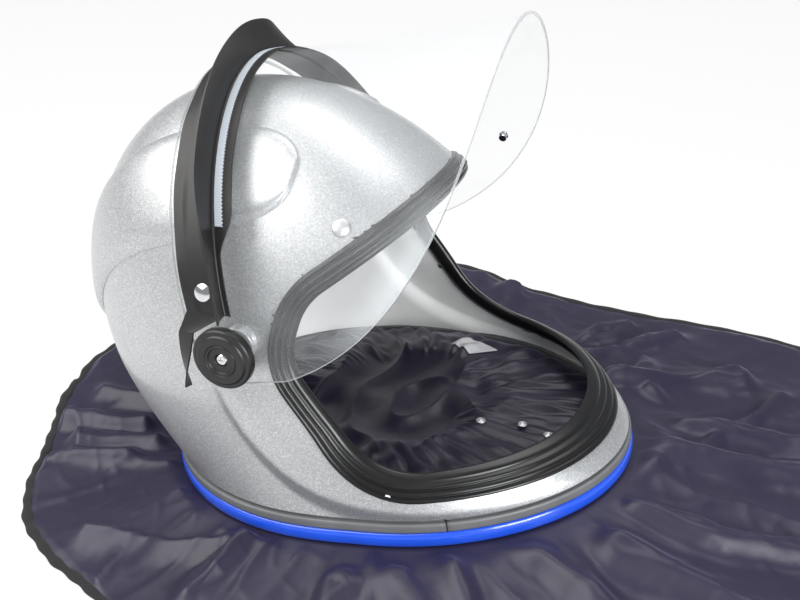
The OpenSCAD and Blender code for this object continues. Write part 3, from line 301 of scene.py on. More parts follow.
class Shell:
    """The moulding as level sections. Each is a superellipse |x/r|^m + |y/h|^m = 1 whose
    reaches follow a dome above the belt and a flare below it, and a crease is added as an
    offset along the section."""

    centre = np.array([-45.0, 0.0, 110.0])
    crease_root = -41.0             # where the crease stands low plus rise high
    crease_fade = -55.0, 30.0       # where it begins, and the run over which it grows
    ray_span, ray_halvings = (60.0, 220.0), 26

    def __init__(self):
        self.s = sizes("shell")

    def parts(self, z, o):
        """Middle, half width, front reach, rear reach and power of the section at level z,
        grown by o. The reaches go as (1 - u^p)^(1/p) in the share u of the way from belt to
        crown, and change by the square of the share v of the way from belt to rim."""
        s = self.s
        u = np.clip((z - s.belt) / (s.crown + o - s.belt), 0, 1)
        v = np.clip((s.belt - z) / s.belt, 0, 1)
        d = np.maximum(0, 1 - u ** s.dome) ** (1 / s.dome)
        low = z < s.belt
        half = np.where(low, s.half_w + o + s.flare * v ** 2, (s.half_w + o) * d)
        fore = np.where(low, s.front + o + s.chin * v ** 2, (s.front + o) * d)
        aft = np.where(low, s.rear + o - s.nape * v ** 2, (s.rear + o) * d)
        at_rim, at_belt, at_crown = s.plan
        m = at_belt + (at_crown - at_belt) * np.clip(z / s.crown, 0, 1) + (at_rim - at_belt) * v
        return -s.lean * z - s.shift * u, half, fore, aft, m

    def level(self, z, a, o):
        """Point at angle a of the section: x and y are reach times the power 2/m of the
        angle's cosine and sine."""
        mid, half, fore, aft, m = self.parts(z, o)
        c, n = np.cos(a), np.sin(a)
        x = mid + np.where(c >= 0, fore, aft) * power(c, 2 / m)
        return np.stack(np.broadcast_arrays(x, half * power(n, 2 / m), z * np.ones_like(x)), -1)

    def crease(self, x, z):
        """Height of the cheek crease: smooth slopes above and below a line that drops
        exponentially towards the chin, grown from nothing at its rear end."""
        h, above, below, low, rise, run = self.s.crease
        d = z - (low + rise * np.exp(-(x - self.crease_root) / run))
        slopes = np.where(d > 0, ease(1 - d / above), ease(1 + d / below))
        return h * ease((x - self.crease_fade[0]) / self.crease_fade[1]) * slopes

    def skin(self, z, a, o=0.0):
        """Point of the moulding grown by o, with its crease."""
        p = self.level(z, a, 0.0)
        return self.level(z, a, o + self.crease(p[..., 0], z))

    def rim(self, a, n, z):
        """A point n outside the rim's section at angle a, dropped to level z."""
        p = self.skin(np.zeros_like(a), a, n)
        p[..., 2] = z
        return p

    def carried(self, a, section):
        """A section of (outset, level) pairs carried round the rim at the angles a."""
        out, level = section.T
        return self.rim(a[:, None] * np.ones(len(out)), out * np.ones((len(a), 1)), level)

    def side_y(self, x, z, o):
        """Half width at a place of the side view: half (1 - |x/r|^m)^(1/m)."""
        k = o + self.crease(x, z)
        mid, half, fore, aft, m = self.parts(z, k)
        d = x - mid
        r = np.maximum(np.where(d >= 0, fore, aft), 1e-6)
        return half * np.maximum(0, 1 - np.abs(d / r) ** m) ** (1 / m)

    def ray(self, d, o=0.0):
        """Where a ray from the middle of the head along unit vector d meets the dome grown
        by o, by bisection."""
        lo, hi = (np.full(d.shape[:-1], end) for end in self.ray_span)
        for _ in range(self.ray_halvings):
            r = (lo + hi) / 2
            p = self.centre + d * r[..., None]
            mid, half, fore, aft, m = self.parts(p[..., 2], o)
            e = p[..., 0] - mid
            reach = np.maximum(np.where(e >= 0, fore, aft), 1e-6)
            wide = np.abs(p[..., 1] / np.maximum(half, 1e-6))
            out = (np.abs(e / reach) ** m + wide ** m > 1) | (p[..., 2] >= self.s.crown + o)
            lo, hi = np.where(out, lo, r), np.where(out, r, hi)
        return self.centre + d * r[..., None]

    def sight(self, al, be, o=0.0):
        """The point seen from the middle of the head at al degrees up from the front and be
        degrees to the left."""
        al, be = np.radians(al), np.radians(be)
        d = np.cos(al) * np.cos(be), np.sin(be), np.sin(al) * np.cos(be)
        return self.ray(np.stack(np.broadcast_arrays(*d), -1), o)

    def stand(self, al, be):
        """A frame at a sighted point whose third axis is the normal, from the cross product
        of differences two degrees either way."""
        up = self.sight(al + 2, be) - self.sight(al - 2, be)
        left = self.sight(al, be + 2) - self.sight(al, be - 2)
        foot, n = self.sight(al, be), unit(np.cross(up, left))
        return along(foot, n * np.sign(np.sum(n * (foot - self.centre), -1, keepdims=True)))


class Opening:
    """Outline of the face opening in side view: straight legs joined by arcs. A place on it
    is a length s along it and a distance a into the opening."""

    brow_run = 120.0                # how far the brow leg is drawn out
    last = 7                        # index of the outline's end among the cuts
    halvings, samples, chunk = 30, 900, 4000
    hindmost, far_away = -30.0, 99.0

    def __init__(self, shell):
        s = self.s = sizes("opening")
        self.shell = shell
        lead = unit(s.brow - s.temple)
        self.legs = np.array([s.brow + lead * self.brow_run, s.temple, s.cheek, s.jaw, s.chin])
        self.r = np.array([0, *s.radii, 0])
        step = np.diff(self.legs, axis=0)
        self.head = np.arctan2(step[:, 1], step[:, 0])
        turn = np.array([0, *np.diff(self.head), 0])
        self.tan = self.r * np.tan(turn / 2)
        leg = np.hypot(*step.T) - self.tan[:-1] - self.tan[1:]
        arc = (self.r * turn)[1:-1]
        runs = [leg[0], arc[0], leg[1], arc[1], leg[2], arc[2], leg[3]]
        self.cuts = np.concatenate([[0], np.cumsum(runs)])

    def point(self, s, a):
        """Place (s, a): on a leg it is the leg's start plus s along and a across; on an arc
        it is the arc's centre less (radius - a) along its turned normal."""
        s, a = np.broadcast_arrays(np.asarray(s, float), np.asarray(a, float))
        k = np.clip(np.searchsorted(self.cuts, s, "right") - 1, 0, 6)
        d, i = s - self.cuts[k], (k + 1) // 2
        vec = lambda g: np.stack([np.cos(g), np.sin(g)], -1)
        nrm = lambda g: np.stack([-np.sin(g), np.cos(g)], -1)
        h = self.head[np.clip(i, 0, 3)]
        line = self.legs[i] + vec(h) * (self.tan[i] + d)[..., None] + nrm(h) * a[..., None]
        h = self.head[np.clip(i - 1, 0, 3)]
        r = np.maximum(self.r[i], 1e-6)
        c = self.legs[i] - vec(h) * self.tan[i][..., None] + nrm(h) * r[..., None]
        bend = c - nrm(h + d / r) * (r - a)[..., None]
        return np.where((k % 2 == 0)[..., None], line, bend)

    def middle(self, a, o, inside, outside):
        """Where the outline at distance a and height o meets the middle plane, by bisection."""
        lo, hi = np.full(a.shape, float(inside)), np.full(a.shape, float(outside))
        for _ in range(self.halvings):
            s = (lo + hi) / 2
            x, z = np.moveaxis(self.point(s, a), -1, 0)
            mid, _, fore, _, _ = self.shell.parts(z, o + self.shell.crease(x, z))
            past = x - mid - fore > 0
            lo, hi = np.where(past, lo, s), np.where(past, s, hi)
        return s

    def sweep(self, section, n):
        """A closed section of (distance in, height) pairs carried down the right side and
        back up the left."""
        a, o = np.asarray(section, float).T
        first = self.middle(a, o, self.cuts[2], 0)
        last = self.middle(a, o, self.cuts[5], self.cuts[self.last])
        t = (1 - np.cos(np.linspace(0, np.pi, n)))[:, None] / 2
        p = self.point(first + (last - first) * t, a)
        y = self.shell.side_y(p[..., 0], p[..., 1], o)
        y[[0, -1]] = 0
        right = np.stack([p[..., 0], -y, p[..., 1]], -1)
        return np.concatenate([right, (right * [1, -1, 1])[-2:0:-1]])

    def depth(self, p):
        """Signed distance in side view from the cut line, positive in the material: the
        distance to the nearest of many points on it, signed by their inward normals."""
        s = np.linspace(0, self.cuts[-1] - 1e-6, self.samples)
        line = self.point(s, 0.0)
        inward = self.point(s, 1.0) - line
        out = np.full(p.shape[:-1], self.far_away)
        near = p[..., 0] > self.hindmost
        q = p[near][:, ::2]
        k = np.concatenate([np.argmin(((b[:, None] - line) ** 2).sum(-1), 1)
                            for b in np.array_split(q, max(1, len(q) // self.chunk))])
        away = q - line[k]
        out[near] = np.sign(-np.sum(away * inward[k], -1)) * np.hypot(*away.T)
        return out


class Visor:
    """The clear sheet: straight lines from a tilted superelliptic lower edge to an upper
    edge, about the pivot. A place on it is s from -1 at the right to 1 at the left, and w
    from 0 at the lower edge to 1 at the upper."""

    def __init__(self):
        self.s = sizes("visor")
        self.pivot = np.array([self.s.pivot[0], 0, self.s.pivot[1]])

    def low(self, s):
        """Lower edge: a superellipse of reach and half width in a tilted plane, off which
        a polynomial in |s| takes it."""
        v, k = self.s, np.abs(s)
        x = v.low_reach * np.maximum(0, np.cos(np.pi / 2 * k)) ** (2 / v.low_power)
        d = v.half * np.sin(np.pi / 2 * k) ** (2 / v.low_power)
        e0, e2, e3, e4 = v.low_depth
        e = e0 + e2 * k ** 2 + e3 * k ** 3 + e4 * k ** 4
        c, n = math.cos(v.low_tilt), math.sin(v.low_tilt)
        return np.stack([x * c - e * n, np.sign(s) * d, x * n + e * c], -1)

    def up(self, s):
        """Upper edge: a superellipse of height and half width that leans by |s|^1.5."""
        v, k = self.s, np.abs(s)
        x = v.up_x[0] + (v.up_x[1] - v.up_x[0]) * k ** 1.5
        y = np.sign(s) * v.half * np.sin(np.pi / 2 * k) ** (2 / v.up_power)
        z = v.up_height * np.maximum(0, np.cos(np.pi / 2 * k)) ** (2 / v.up_power)
        return np.stack([x, y, z], -1)

    def at(self, s, w):
        """Point on the straight line at s, a share w of the way up."""
        return self.low(s) * (1 - w[..., None]) + self.up(s) * w[..., None]

    def normal(self, s, w):
        """Outward unit normal: the cross product of a step along s and the straight line."""
        t = self.at(np.minimum(1, s + 0.01), w) - self.at(np.maximum(-1, s - 0.01), w)
        n = unit(np.cross(t, self.up(s) - self.low(s)))
        q = self.at(s, w)
        side = np.sign(n[..., 1] * q[..., 1] + n[..., 2] * 60)
        return n * side[..., None]

    def over(self, s, e, h):
        """A point e from the upper edge towards the lower one, and h out from the sheet,
        about the helmet's frame."""
        s, e, h = np.broadcast_arrays(*(np.asarray(v, float) for v in (s, e, h)))
        span = np.linalg.norm(self.up(s) - self.low(s), axis=-1)
        w = 1 - e / span
        return self.at(s, w) + self.normal(s, np.minimum(1, w)) * h[..., None] + self.pivot

    def axle(self, side):
        """A frame at the pivot whose third axis points out to a side."""
        return along(self.pivot, [0, side, 0])


class Seat:
    """Tilt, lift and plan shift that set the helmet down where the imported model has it."""

    def __init__(self):
        s, v = sizes("shell"), sizes("visor")
        self.c, self.n, self.lift = math.cos(s.pitch), math.sin(s.pitch), s.lift
        hinge = next(j for j in frame["joints"] if j["name"] == "visor_swing")["pos_m"]
        self.mid = np.zeros(3)
        p = self.down(np.array([v.pivot[0], 0, v.pivot[1]]))
        self.mid = np.array([p[0] - hinge[0] * 1000, -hinge[1] * 1000, 0])

    def down(self, p):
        """From the helmet's frame to the floor's, in millimetres."""
        x, y, z = np.moveaxis(p, -1, 0)
        lain = [x * self.c - z * self.n, y, x * self.n + z * self.c + self.lift]
        return np.stack(lain, -1) - self.mid

    def metres(self, p):
        """From the helmet's frame to metres on the floor."""
        return self.down(p) / 1000

    def floor(self, p):
        """From the floor's frame before the plan shift to metres."""
        return (p - self.mid) / 1000


# ---------------------------------------------------------------- meshes

def mesh(name, points, quads):
    """A smooth mesh from an (n, 3) array and an (f, 4) array of corners."""
    used, corners = np.unique(quads, return_inverse=True)
    corners = corners.reshape(quads.shape)
    m = bpy.data.meshes.new(name)
    m.vertices.add(len(used))
    m.vertices.foreach_set("co", points[used].astype(np.float32).ravel())
    m.loops.add(corners.size)
    m.loops.foreach_set("vertex_index", corners.astype(np.int32).ravel())
    m.polygons.add(len(corners))
    m.polygons.foreach_set("loop_start", np.arange(len(corners), dtype=np.int32) * corners.shape[1])
    m.polygons.foreach_set("use_smooth", np.ones(len(corners), bool))
    m.update(calc_edges=True)
    m.validate()
    o = bpy.data.objects.new(name, m)
    bpy.context.scene.collection.objects.link(o)
    return o


def cells(n, m, wrap_u=False, wrap_v=False):
    """Corners of the cells of an (n, m) grid of points, joined round where told."""
    i, j = (g.ravel() for g in grid(np.arange(n if wrap_u else n - 1),
                                    np.arange(m if wrap_v else m - 1)))
    k, l = (i + 1) % n, (j + 1) % m
    return np.stack([i * m + j, k * m + j, k * m + l, i * m + l], -1)


def faces_in(data, point):
    """Whether faces turn towards a point: the sum over them of area times the part of the
    way out from it that lies along the normal."""
    centre, normal, area = (np.empty(len(data.polygons) * n, np.float32) for n in (3, 3, 1))
    for key, field in (("center", centre), ("normal", normal), ("area", area)):
        data.polygons.foreach_get(key, field)
    out = ((centre.reshape(-1, 3) - point) * normal.reshape(-1, 3)).sum(-1)
    return out @ area < 0


def settle(o, inside=None):
    """Merges doubles and turns the faces outwards: by the signed volume, or for an open
    sheet away from a point."""
    turn = inside is not None and faces_in(o.data, inside)
    b = bmesh.new()
    b.from_mesh(o.data)
    bmesh.ops.remove_doubles(b, verts=b.verts, dist=2e-6)
    bmesh.ops.dissolve_degenerate(b, edges=b.edges, dist=1e-6)
    if turn or (inside is None and b.calc_volume(signed=True) < 0):
        bmesh.ops.reverse_faces(b, faces=b.faces)
    b.to_mesh(o.data)
    b.free()
    o.data.update()
    return o


def surface(name, p, wrap_u=False, wrap_v=False, inside=None, caps=False):
    """A grid of points (n, m, 3) in metres made a mesh. With caps, the first and last rings
    are drawn to a point."""
    if caps:
        first, last = (np.broadcast_to(ring.mean(0), ring.shape)[None] for ring in (p[0], p[-1]))
        p = np.concatenate([first, p, last])
    n, m = p.shape[:2]
    return settle(mesh(name, p.reshape(-1, 3), cells(n, m, wrap_u, wrap_v)), inside)


def lathe(profile, count, place):
    """Rings (profile, count, 3) of a profile of (radius, height) pairs turned about the
    third axis of a place."""
    r, h = np.asarray(profile, float).T
    t = full_turn(count)
    p = np.stack([r[:, None] * np.cos(t), r[:, None] * np.sin(t), h[:, None] * np.ones_like(t)], -1)
    return p @ place[0].T + place[1]


def dome(r, high):
    """Profile of a rivet's head, from its foot over a quarter of an ellipse to its top."""
    a = np.radians(np.linspace(0, 90, 14))
    over = np.stack([r * np.cos(a), 0.5 + high * np.sin(a)], -1)[:-1]
    return np.concatenate([[[0.01, 0], [r - 0.3, 0], [r, 0.25]], over, [[0.01, 0.5 + high]]])


def rounded(profile, r=0.4, n=4):
    """A profile with every inner corner eased by a short parabola of about r."""
    p = np.asarray(profile, float)
    out = [p[0]]
    for a, b, c in zip(p[:-2], p[1:-1], p[2:]):
        k = min(r, np.linalg.norm(a - b) / 2.2, np.linalg.norm(c - b) / 2.2)
        u, v = b + unit(a - b) * k, b + unit(c - b) * k
        out += [u * (1 - t) ** 2 + 2 * b * t * (1 - t) + v * t ** 2 for t in np.linspace(0, 1, n)]
    return np.array(out + [p[-1]])


def finish(o, paint, body, nodes=(), thick=0.0, offset=-1.0, inner=None):
    """Wall with crisp edges, finish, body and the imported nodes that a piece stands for."""
    o.data.materials.clear()
    o.data.materials.append(paint)
    if thick:
        sides = np.empty(len(o.data.loops), np.int32)
        o.data.loops.foreach_get("edge_index", sides)
        crisp = o.data.attributes.new("sharp_edge", "BOOLEAN", "EDGE")
        crisp.data.foreach_set("value", np.bincount(sides, minlength=len(o.data.edges)) == 1)
        wall = o.modifiers.new("Wall", "SOLIDIFY")
        wall.thickness, wall.offset = thick / 1000, offset
        wall.use_quality_normals = True
        if inner:
            o.data.materials.append(inner)
            wall.material_offset = 1
    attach(o, body)
    if nodes:
        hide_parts(*nodes)
    return o


# ---------------------------------------------------------------- finishes

class Value:
    """A number that varies over a surface. Python's operators on it add Math nodes."""

    def __init__(self, nodes, socket):
        self.nodes, self.socket = nodes, socket

    def math(self, operation, *values, clamp=False):
        return self.nodes.value("ShaderNodeMath", {"operation": operation, "use_clamp": clamp},
                                dict(enumerate(values)))

    def __add__(self, b): return self.math("ADD", self, b)
    __radd__ = __add__
    def __sub__(self, b): return self.math("SUBTRACT", self, b)
    def __rsub__(self, b): return self.math("SUBTRACT", b, self)
    def __mul__(self, b): return self.math("MULTIPLY", self, b)
    __rmul__ = __mul__
    def __pow__(self, b): return self.math("POWER", self, b)
    def __rpow__(self, b): return self.math("POWER", b, self)
    def sine(self): return self.math("SINE", self)
    def least(self, b): return self.math("MINIMUM", self, b)
    def most(self, b): return self.math("MAXIMUM", self, b)
    def held(self): return self.math("ADD", self, 0.0, clamp=True)

    def band(self, low, high):
        """0 below low, 1 above high, and smooth between."""
        return self.nodes.value("ShaderNodeMapRange", {"interpolation_type": "SMOOTHSTEP"},
                                {"Value": self, "From Min": low, "From Max": high})


def rgba(c):
    """A colour with its alpha, or a socket as it is."""
    return (*c, 1) if isinstance(c, tuple) else c


class Nodes:
    """A node tree under construction. Every node comes from its node method."""

    def __init__(self, owner, out):
        owner.use_nodes = True
        self.tree = owner.node_tree
        self.tree.nodes.clear()
        self.out = self.node(out)

    def node(self, kind, settings=None, inputs=None):
        """A node of a kind, with its settings and then the values or links of its sockets."""
        n = self.tree.nodes.new(kind)
        for key, value in (settings or {}).items():
            setattr(n, key, value)
        for key, value in (inputs or {}).items():
            self.feed(n.inputs[key], value)
        return n

    def feed(self, socket, value):
        """Links a value or socket, or sets a number or vector."""
        if isinstance(value, Value):
            value = value.socket
        if isinstance(value, bpy.types.NodeSocket):
            self.tree.links.new(value, socket)
        else:
            socket.default_value = value

    def value(self, kind, settings=None, inputs=None, output=0):
        return Value(self, self.node(kind, settings, inputs).outputs[output])

    def end(self, socket):
        self.feed(self.out.inputs[0], socket)


class Paint(Nodes):
    """A material under construction, on object coordinates in metres."""

    def __init__(self, name):
        self.material = bpy.data.materials.new(name)
        super().__init__(self.material, "ShaderNodeOutputMaterial")
        self.place = self.node("ShaderNodeTexCoord").outputs["Object"]

    def scaled(self, scale):
        """Object coordinates times a scale for each axis."""
        return self.node("ShaderNodeMapping", None,
                         {"Vector": self.place, "Scale": scale}).outputs[0]

    def noise(self, scale, detail=2.0, rough=0.5, where=None):
        return self.value("ShaderNodeTexNoise", None, {
            "Vector": where or self.place, "Scale": scale, "Detail": detail, "Roughness": rough})

    def pores(self, scale, output="Distance", **settings):
        """A Voronoi pattern."""
        return self.node("ShaderNodeTexVoronoi", settings,
                         {"Vector": self.place, "Scale": scale}).outputs[output]

    def grains(self, scale):
        """A random number for each cell of a Voronoi pattern."""
        return self.value("ShaderNodeSeparateColor", None, {0: self.pores(scale, "Color")})

    def axes(self):
        n = self.node("ShaderNodeSeparateXYZ", None, {0: self.place})
        return [Value(self, o) for o in n.outputs]

    def attribute(self, name):
        return self.value("ShaderNodeAttribute", {"attribute_name": name}, None, "Fac")

    def mix(self, share, a, b):
        """Two colours mixed by a share from 0 to 1."""
        return self.node("ShaderNodeMix", {"data_type": "RGBA"},
                         {0: share, 6: rgba(a), 7: rgba(b)}).outputs[2]

    def bump(self, height, depth, strength=1.0, normal=None):
        """A normal from a height of 0 to 1 that stands for depth millimetres."""
        more = {"Normal": normal} if normal is not None else {}
        return self.node("ShaderNodeBump", None, {
            "Height": height, "Distance": depth / 1000, "Strength": strength, **more}).outputs[0]

    def done(self, colour, rough, normal=None, **more):
        """The finished material. Further sockets are given with _ for the space."""
        inputs = {"Base Color": rgba(colour), "Roughness": rough}
        if normal is not None:
            inputs["Normal"] = normal
        inputs.update({key.replace("_", " "): value for key, value in more.items()})
        self.end(self.node("ShaderNodeBsdfPrincipled", None, inputs).outputs[0])
        return self.material


def shade(c, k):
    """A colour times k, at most 1."""
    return tuple(min(1.0, float(v) * k) for v in c)


def flake_paint(c):
    """Silver flake under a clear coat: cells of slightly different grey, tilt and gloss,
    with broad cloudiness, and a few cells painted much lighter as glints."""
    p = Paint("silver_flake")
    fine, coarse = p.grains(2300), p.grains(1250)
    # painted glints: a few sparse flake cells made much lighter in the base colour
    painted_glint = (fine ** 5.0) * 0.5
    tone = (coarse * 0.2 + fine * 0.3 + p.noise(9, 2) * 0.16 + painted_glint).held()
    return p.done(p.mix(tone, shade(c.silver, 0.62), shade(c.silver, 1.32)),
                  (fine * 0.16 + 0.34).held(), p.bump(fine * 0.6 + coarse * 0.4, 0.04, 0.5),
                  Metallic=0.78, Coat_Weight=0.3, Coat_Roughness=0.14)


def primer_paint(c):
    """Flat sprayed inner face: faint mottling and orange peel."""
    p = Paint("primer")
    return p.done(p.mix(p.noise(30, 3), shade(c.primer, 0.86), shade(c.primer, 1.08)), 0.62,
                  p.bump(p.noise(420, 2), 0.12, 0.5))


def rubber_paint(name, base, rough, depth=0.06, dust=0.0, coat=0.0):
    """Moulded rubber: fine pebble, faint bloom in broad patches."""
    p = Paint(name)
    bloom = p.noise(38, 3, 0.6)
    bloomed = tuple(min(1, v * 1.25 + dust) for v in base)
    return p.done(p.mix((bloom - 0.35).held() * 0.9, shade(base, 0.85), bloomed),
                  (bloom * 0.14 + rough - 0.07).held(), p.bump(p.noise(900, 2), depth, 0.5),
                  Coat_Weight=coat, Coat_Roughness=0.1)


def moulded_paint(name, base, rough):
    """Moulded plastic: spark-eroded grain and a little handling gloss."""
    p = Paint(name)
    return p.done(p.mix(p.noise(60, 2), shade(base, 0.9), shade(base, 1.2)),
                  (p.noise(45, 2) * 0.16 + rough - 0.08).held(),
                  p.bump(p.noise(1400, 1), 0.04, 0.5))


def metal_paint(name, base, rough):
    """Plated steel: faint turning marks and small scratches."""
    p = Paint(name)
    fine = p.noise(700, 2, 0.5, p.scaled((1, 1, 0.15)))
    return p.done(p.mix(fine, shade(base, 0.86), base), (fine * 0.12 + rough - 0.04).held(),
                  p.bump(fine, 0.02, 0.4), Metallic=1.0)


def vinyl_paint(c):
    """Calendered vinyl: leather-like grain, dull sheen, faint scuffs."""
    p = Paint("vinyl")
    grain = Value(p, p.pores(900, feature="DISTANCE_TO_EDGE"))
    scuff = p.noise(55, 4, 0.65).band(0.56, 0.74)
    return p.done(p.mix(scuff * 0.5, c.vinyl, shade(c.vinyl, 2.1)), (scuff * 0.12 + 0.4).held(),
                  p.bump(grain.least(0.08) * 12, 0.05, 0.35))


def nylon_paint(name, base, lift=1.0):
    """Coated nylon: a fine plain weave, small puckers, and a satin face that is lighter at
    a low angle."""
    p = Paint(name)
    x, y, _ = p.axes()
    weave = (x * 7400).sine() * (y * 7400).sine() * 0.5 + 0.5
    cloud = p.noise(14, 3, 0.55)
    pucker = p.noise(170, 3, 0.6, p.scaled((1, 1, 0.6)))
    # lift scales the whole colour; the collar's 0.62 paints it darker, as shade inside the helmet
    return p.done(p.mix(cloud, shade(base, 0.8 * lift), shade(base, 1.2 * lift)),
                  (cloud * 0.1 + 0.37).held(), p.bump(weave, 0.03, 0.3, p.bump(pucker, 0.35, 0.5)),
                  Sheen_Weight=0.14, Sheen_Roughness=0.4, Sheen_Tint=(0.6, 0.55, 0.8, 1))


def strip_paint(name, base, pitch, depth):
    """Woven strip: ribs across its width and rows along it, from object coordinates, with painted
    shade in the grooves and painted light on the ribs.
    """
    p = Paint(name)
    x, y, z = p.axes()
    rib = ((x + y + z * 0.5) * pitch).sine() * ((x - y + z * 0.4) * pitch).sine() * 0.5 + 0.5
    # painted shade and light: darker where the rib height is low, lighter where it is high
    return p.done(p.mix(rib, shade(base, 0.6), shade(base, 1.35)), 0.78, p.bump(rib, depth, 0.7),
                  Sheen_Weight=0.1)


def foam_paint(c):
    """Open foam behind thin cloth: pores of one size, painted darker at their middles as shade in
    their hollows.
    """
    p = Paint("pad_cloth")
    pores = p.pores(520)
    # painted shade: the pores' colour darkens towards their sunken middles
    return p.done(p.mix(pores, shade(c.foam, 0.6), shade(c.foam, 1.5)), 0.86,
                  p.bump(pores, 0.5, 0.7), Sheen_Weight=0.4)


def clear_paint(c):
    """Clear sheet: almost open, with a faint haze, and denser at its cut edges and in a whitish
    patch near its lower edge on the right."""
    p = Paint("clear_sheet")
    edge, haze = p.attribute("edge"), p.attribute("haze")
    film = p.noise(24, 3, 0.6)
    smear = p.noise(11, 4, 0.7, p.scaled((1, 0.5, 1))).band(0.5, 0.75)
    veil = (0.03 + film * 0.03 + smear * 0.03 + haze * 0.3 + edge * 0.6).held()
    return p.done(p.mix(edge, c.visor, shade(c.visor, 0.5)), 0.08, IOR=1.49, Alpha=veil)


class Finishes:
    """Every material, made once and then shared by the pieces."""

    def __init__(self):
        c = sizes("colours")
        for key, value in vars(c).items():
            setattr(c, key, tuple(float(v) for v in value))
        self.silver, self.primer = flake_paint(c), primer_paint(c)
        self.seal = rubber_paint("seal_rubber", c.rubber, 0.3, 0.03)
        self.profile = rubber_paint("profile_rubber", c.profile, 0.44, 0.08, dust=0.02)
        self.band = rubber_paint("band_rubber", c.band, 0.24, 0.03, coat=0.6)
        self.gasket = rubber_paint("gasket_rubber", c.gasket, 0.6)
        self.vinyl, self.clear = vinyl_paint(c), clear_paint(c)
        self.knob = moulded_paint("knob_plastic", c.knob, 0.36)
        self.plastic = moulded_paint("harness_plastic", c.plastic, 0.45)
        self.fitting = moulded_paint("fitting_plastic", c.fitting, 0.5)
        self.chrome = metal_paint("plated", c.plated, 0.12)
        self.steel = metal_paint("zinc", c.zinc, 0.44)
        self.tape = strip_paint("tape_cloth", c.tape, 5200, 0.12)
        self.binding = strip_paint("binding_cloth", c.binding, 3600, 0.2)
        self.webbing = strip_paint("webbing", c.webbing, 2600, 0.3)
        self.label = strip_paint("label_cloth", c.label, 7000, 0.05)
        self.cape = nylon_paint("cape_nylon", c.cape)
        # painted shade: the collar is the cape's cloth made darker by 0.62, as it lies in the
        # helmet's shade
        self.collar = nylon_paint("collar_nylon_painted_shade", c.cape, 0.62)
        self.foam = foam_paint(c)


class Kit:
    """Forms, seat and finishes that the operators share."""

    def __init__(self):
        self.shell = Shell()
        self.opening, self.visor = Opening(self.shell), Visor()
        self.seat, self.look = Seat(), Finishes()

    def piece(self, name, p, inside=None, **how):
        """A surface given in the helmet's frame."""
        inside = None if inside is None else self.seat.metres(inside)
        return surface(name, self.seat.metres(p), inside=inside, **how)

    def turned(self, name, profile, count, place):
        """A turned piece of count steps, from a closed profile or one that ends on its axis."""
        return self.piece(name, lathe(profile, count, place), wrap_v=True)


@functools.cache
def kit():
    return Kit()


# ---------------------------------------------------------------- operators

class HELMET_OT_shell(bpy.types.Operator):
    """Build the moulded shell, cut for the face, with its bosses"""
    bl_idname = "helmet.shell"
    bl_label = "Shell"

    rows = 40, 104                  # of the grid up to the belt, and over it
    columns = 336
    snap = -4.2, 0.7                # depths from the cut line that slide onto it
    passes, probe, stride = 8, 0.3, 1.4
    girth = 130.0                   # radius that turns a length round the shell into an angle
    least = -0.12, 0.5              # depth of each corner of a cell kept, and of its deepest
    pivot_boss = ((2.6, 110), (11, 110), (11, 124.6), (10.6, 125), (6.1, 125), (6.1, 119),
                  (2.6, 119), (2.6, 110))
    inlet_boss = ((11.1, -13), (19.5, -13), (19.5, 10), (18.6, 12), (11.1, 12), (11.1, -13))
    inlet_level, inlet_drop = 36.0, math.radians(15)

    def execute(self, context):
        """Level sections from rim to crown. Grid points near the cut line slide along the
        surface onto it, by depth over gradient, and cells inside the opening are left out;
        the wall is added inwards."""
        k = kit()
        f, s = k.shell, k.shell.s
        rise = np.sin(np.linspace(0, np.pi / 2, self.rows[1])[1:])
        z = np.concatenate([np.linspace(0, s.belt, self.rows[0]),
                            s.belt + (s.crown - s.belt) * rise])
        z, a = (g.copy() for g in grid(z, full_turn(self.columns)))
        depth = lambda z, a: k.opening.depth(f.skin(z, a))
        d = depth(z, a)
        near = (d > self.snap[0]) & (d < self.snap[1])
        zn, an, dn = z[near], a[near], d[near]
        for _ in range(self.passes):
            dz = (depth(zn + self.probe, an) - dn) / self.probe
            da = (depth(zn, an + self.probe / self.girth) - dn) / self.probe
            step = dn / np.maximum(dz ** 2 + da ** 2, 0.2)
            zn = np.clip(zn - np.clip(step * dz, -self.stride, self.stride), 0, s.crown)
            an = an - np.clip(step * da, -self.stride, self.stride) / self.girth
            dn = depth(zn, an)
        z[near], a[near], d[near] = zn, an, dn
        quads = cells(*z.shape, wrap_v=True)
        corner = d.ravel()[quads]
        quads = quads[(corner > self.least[0]).all(1) & (corner.max(1) > self.least[1])]
        o = mesh("shell_moulding", k.seat.metres(f.skin(z, a)).reshape(-1, 3), quads)
        settle(o, k.seat.metres(f.centre))
        finish(o, k.look.silver, "helmet", ["shell"], s.wall, -1, k.look.primer)
        for side, name in SIDES:
            ring = rounded(self.pivot_boss, 0.6)
            o = k.turned("pivot_boss_" + name, ring, 64, k.visor.axle(side))
            finish(o, k.look.silver, "helmet", ())
        mid, _, _, aft, _ = f.parts(np.array(self.inlet_level), 0.0)
        place = along([float(mid - aft), 0, self.inlet_level],
                      [-math.cos(self.inlet_drop), 0, -math.sin(self.inlet_drop)])
        o = k.turned("inlet_boss", rounded(self.inlet_boss, 0.8), 80, place)
        finish(o, k.look.silver, "helmet", ())
        return {"FINISHED"}


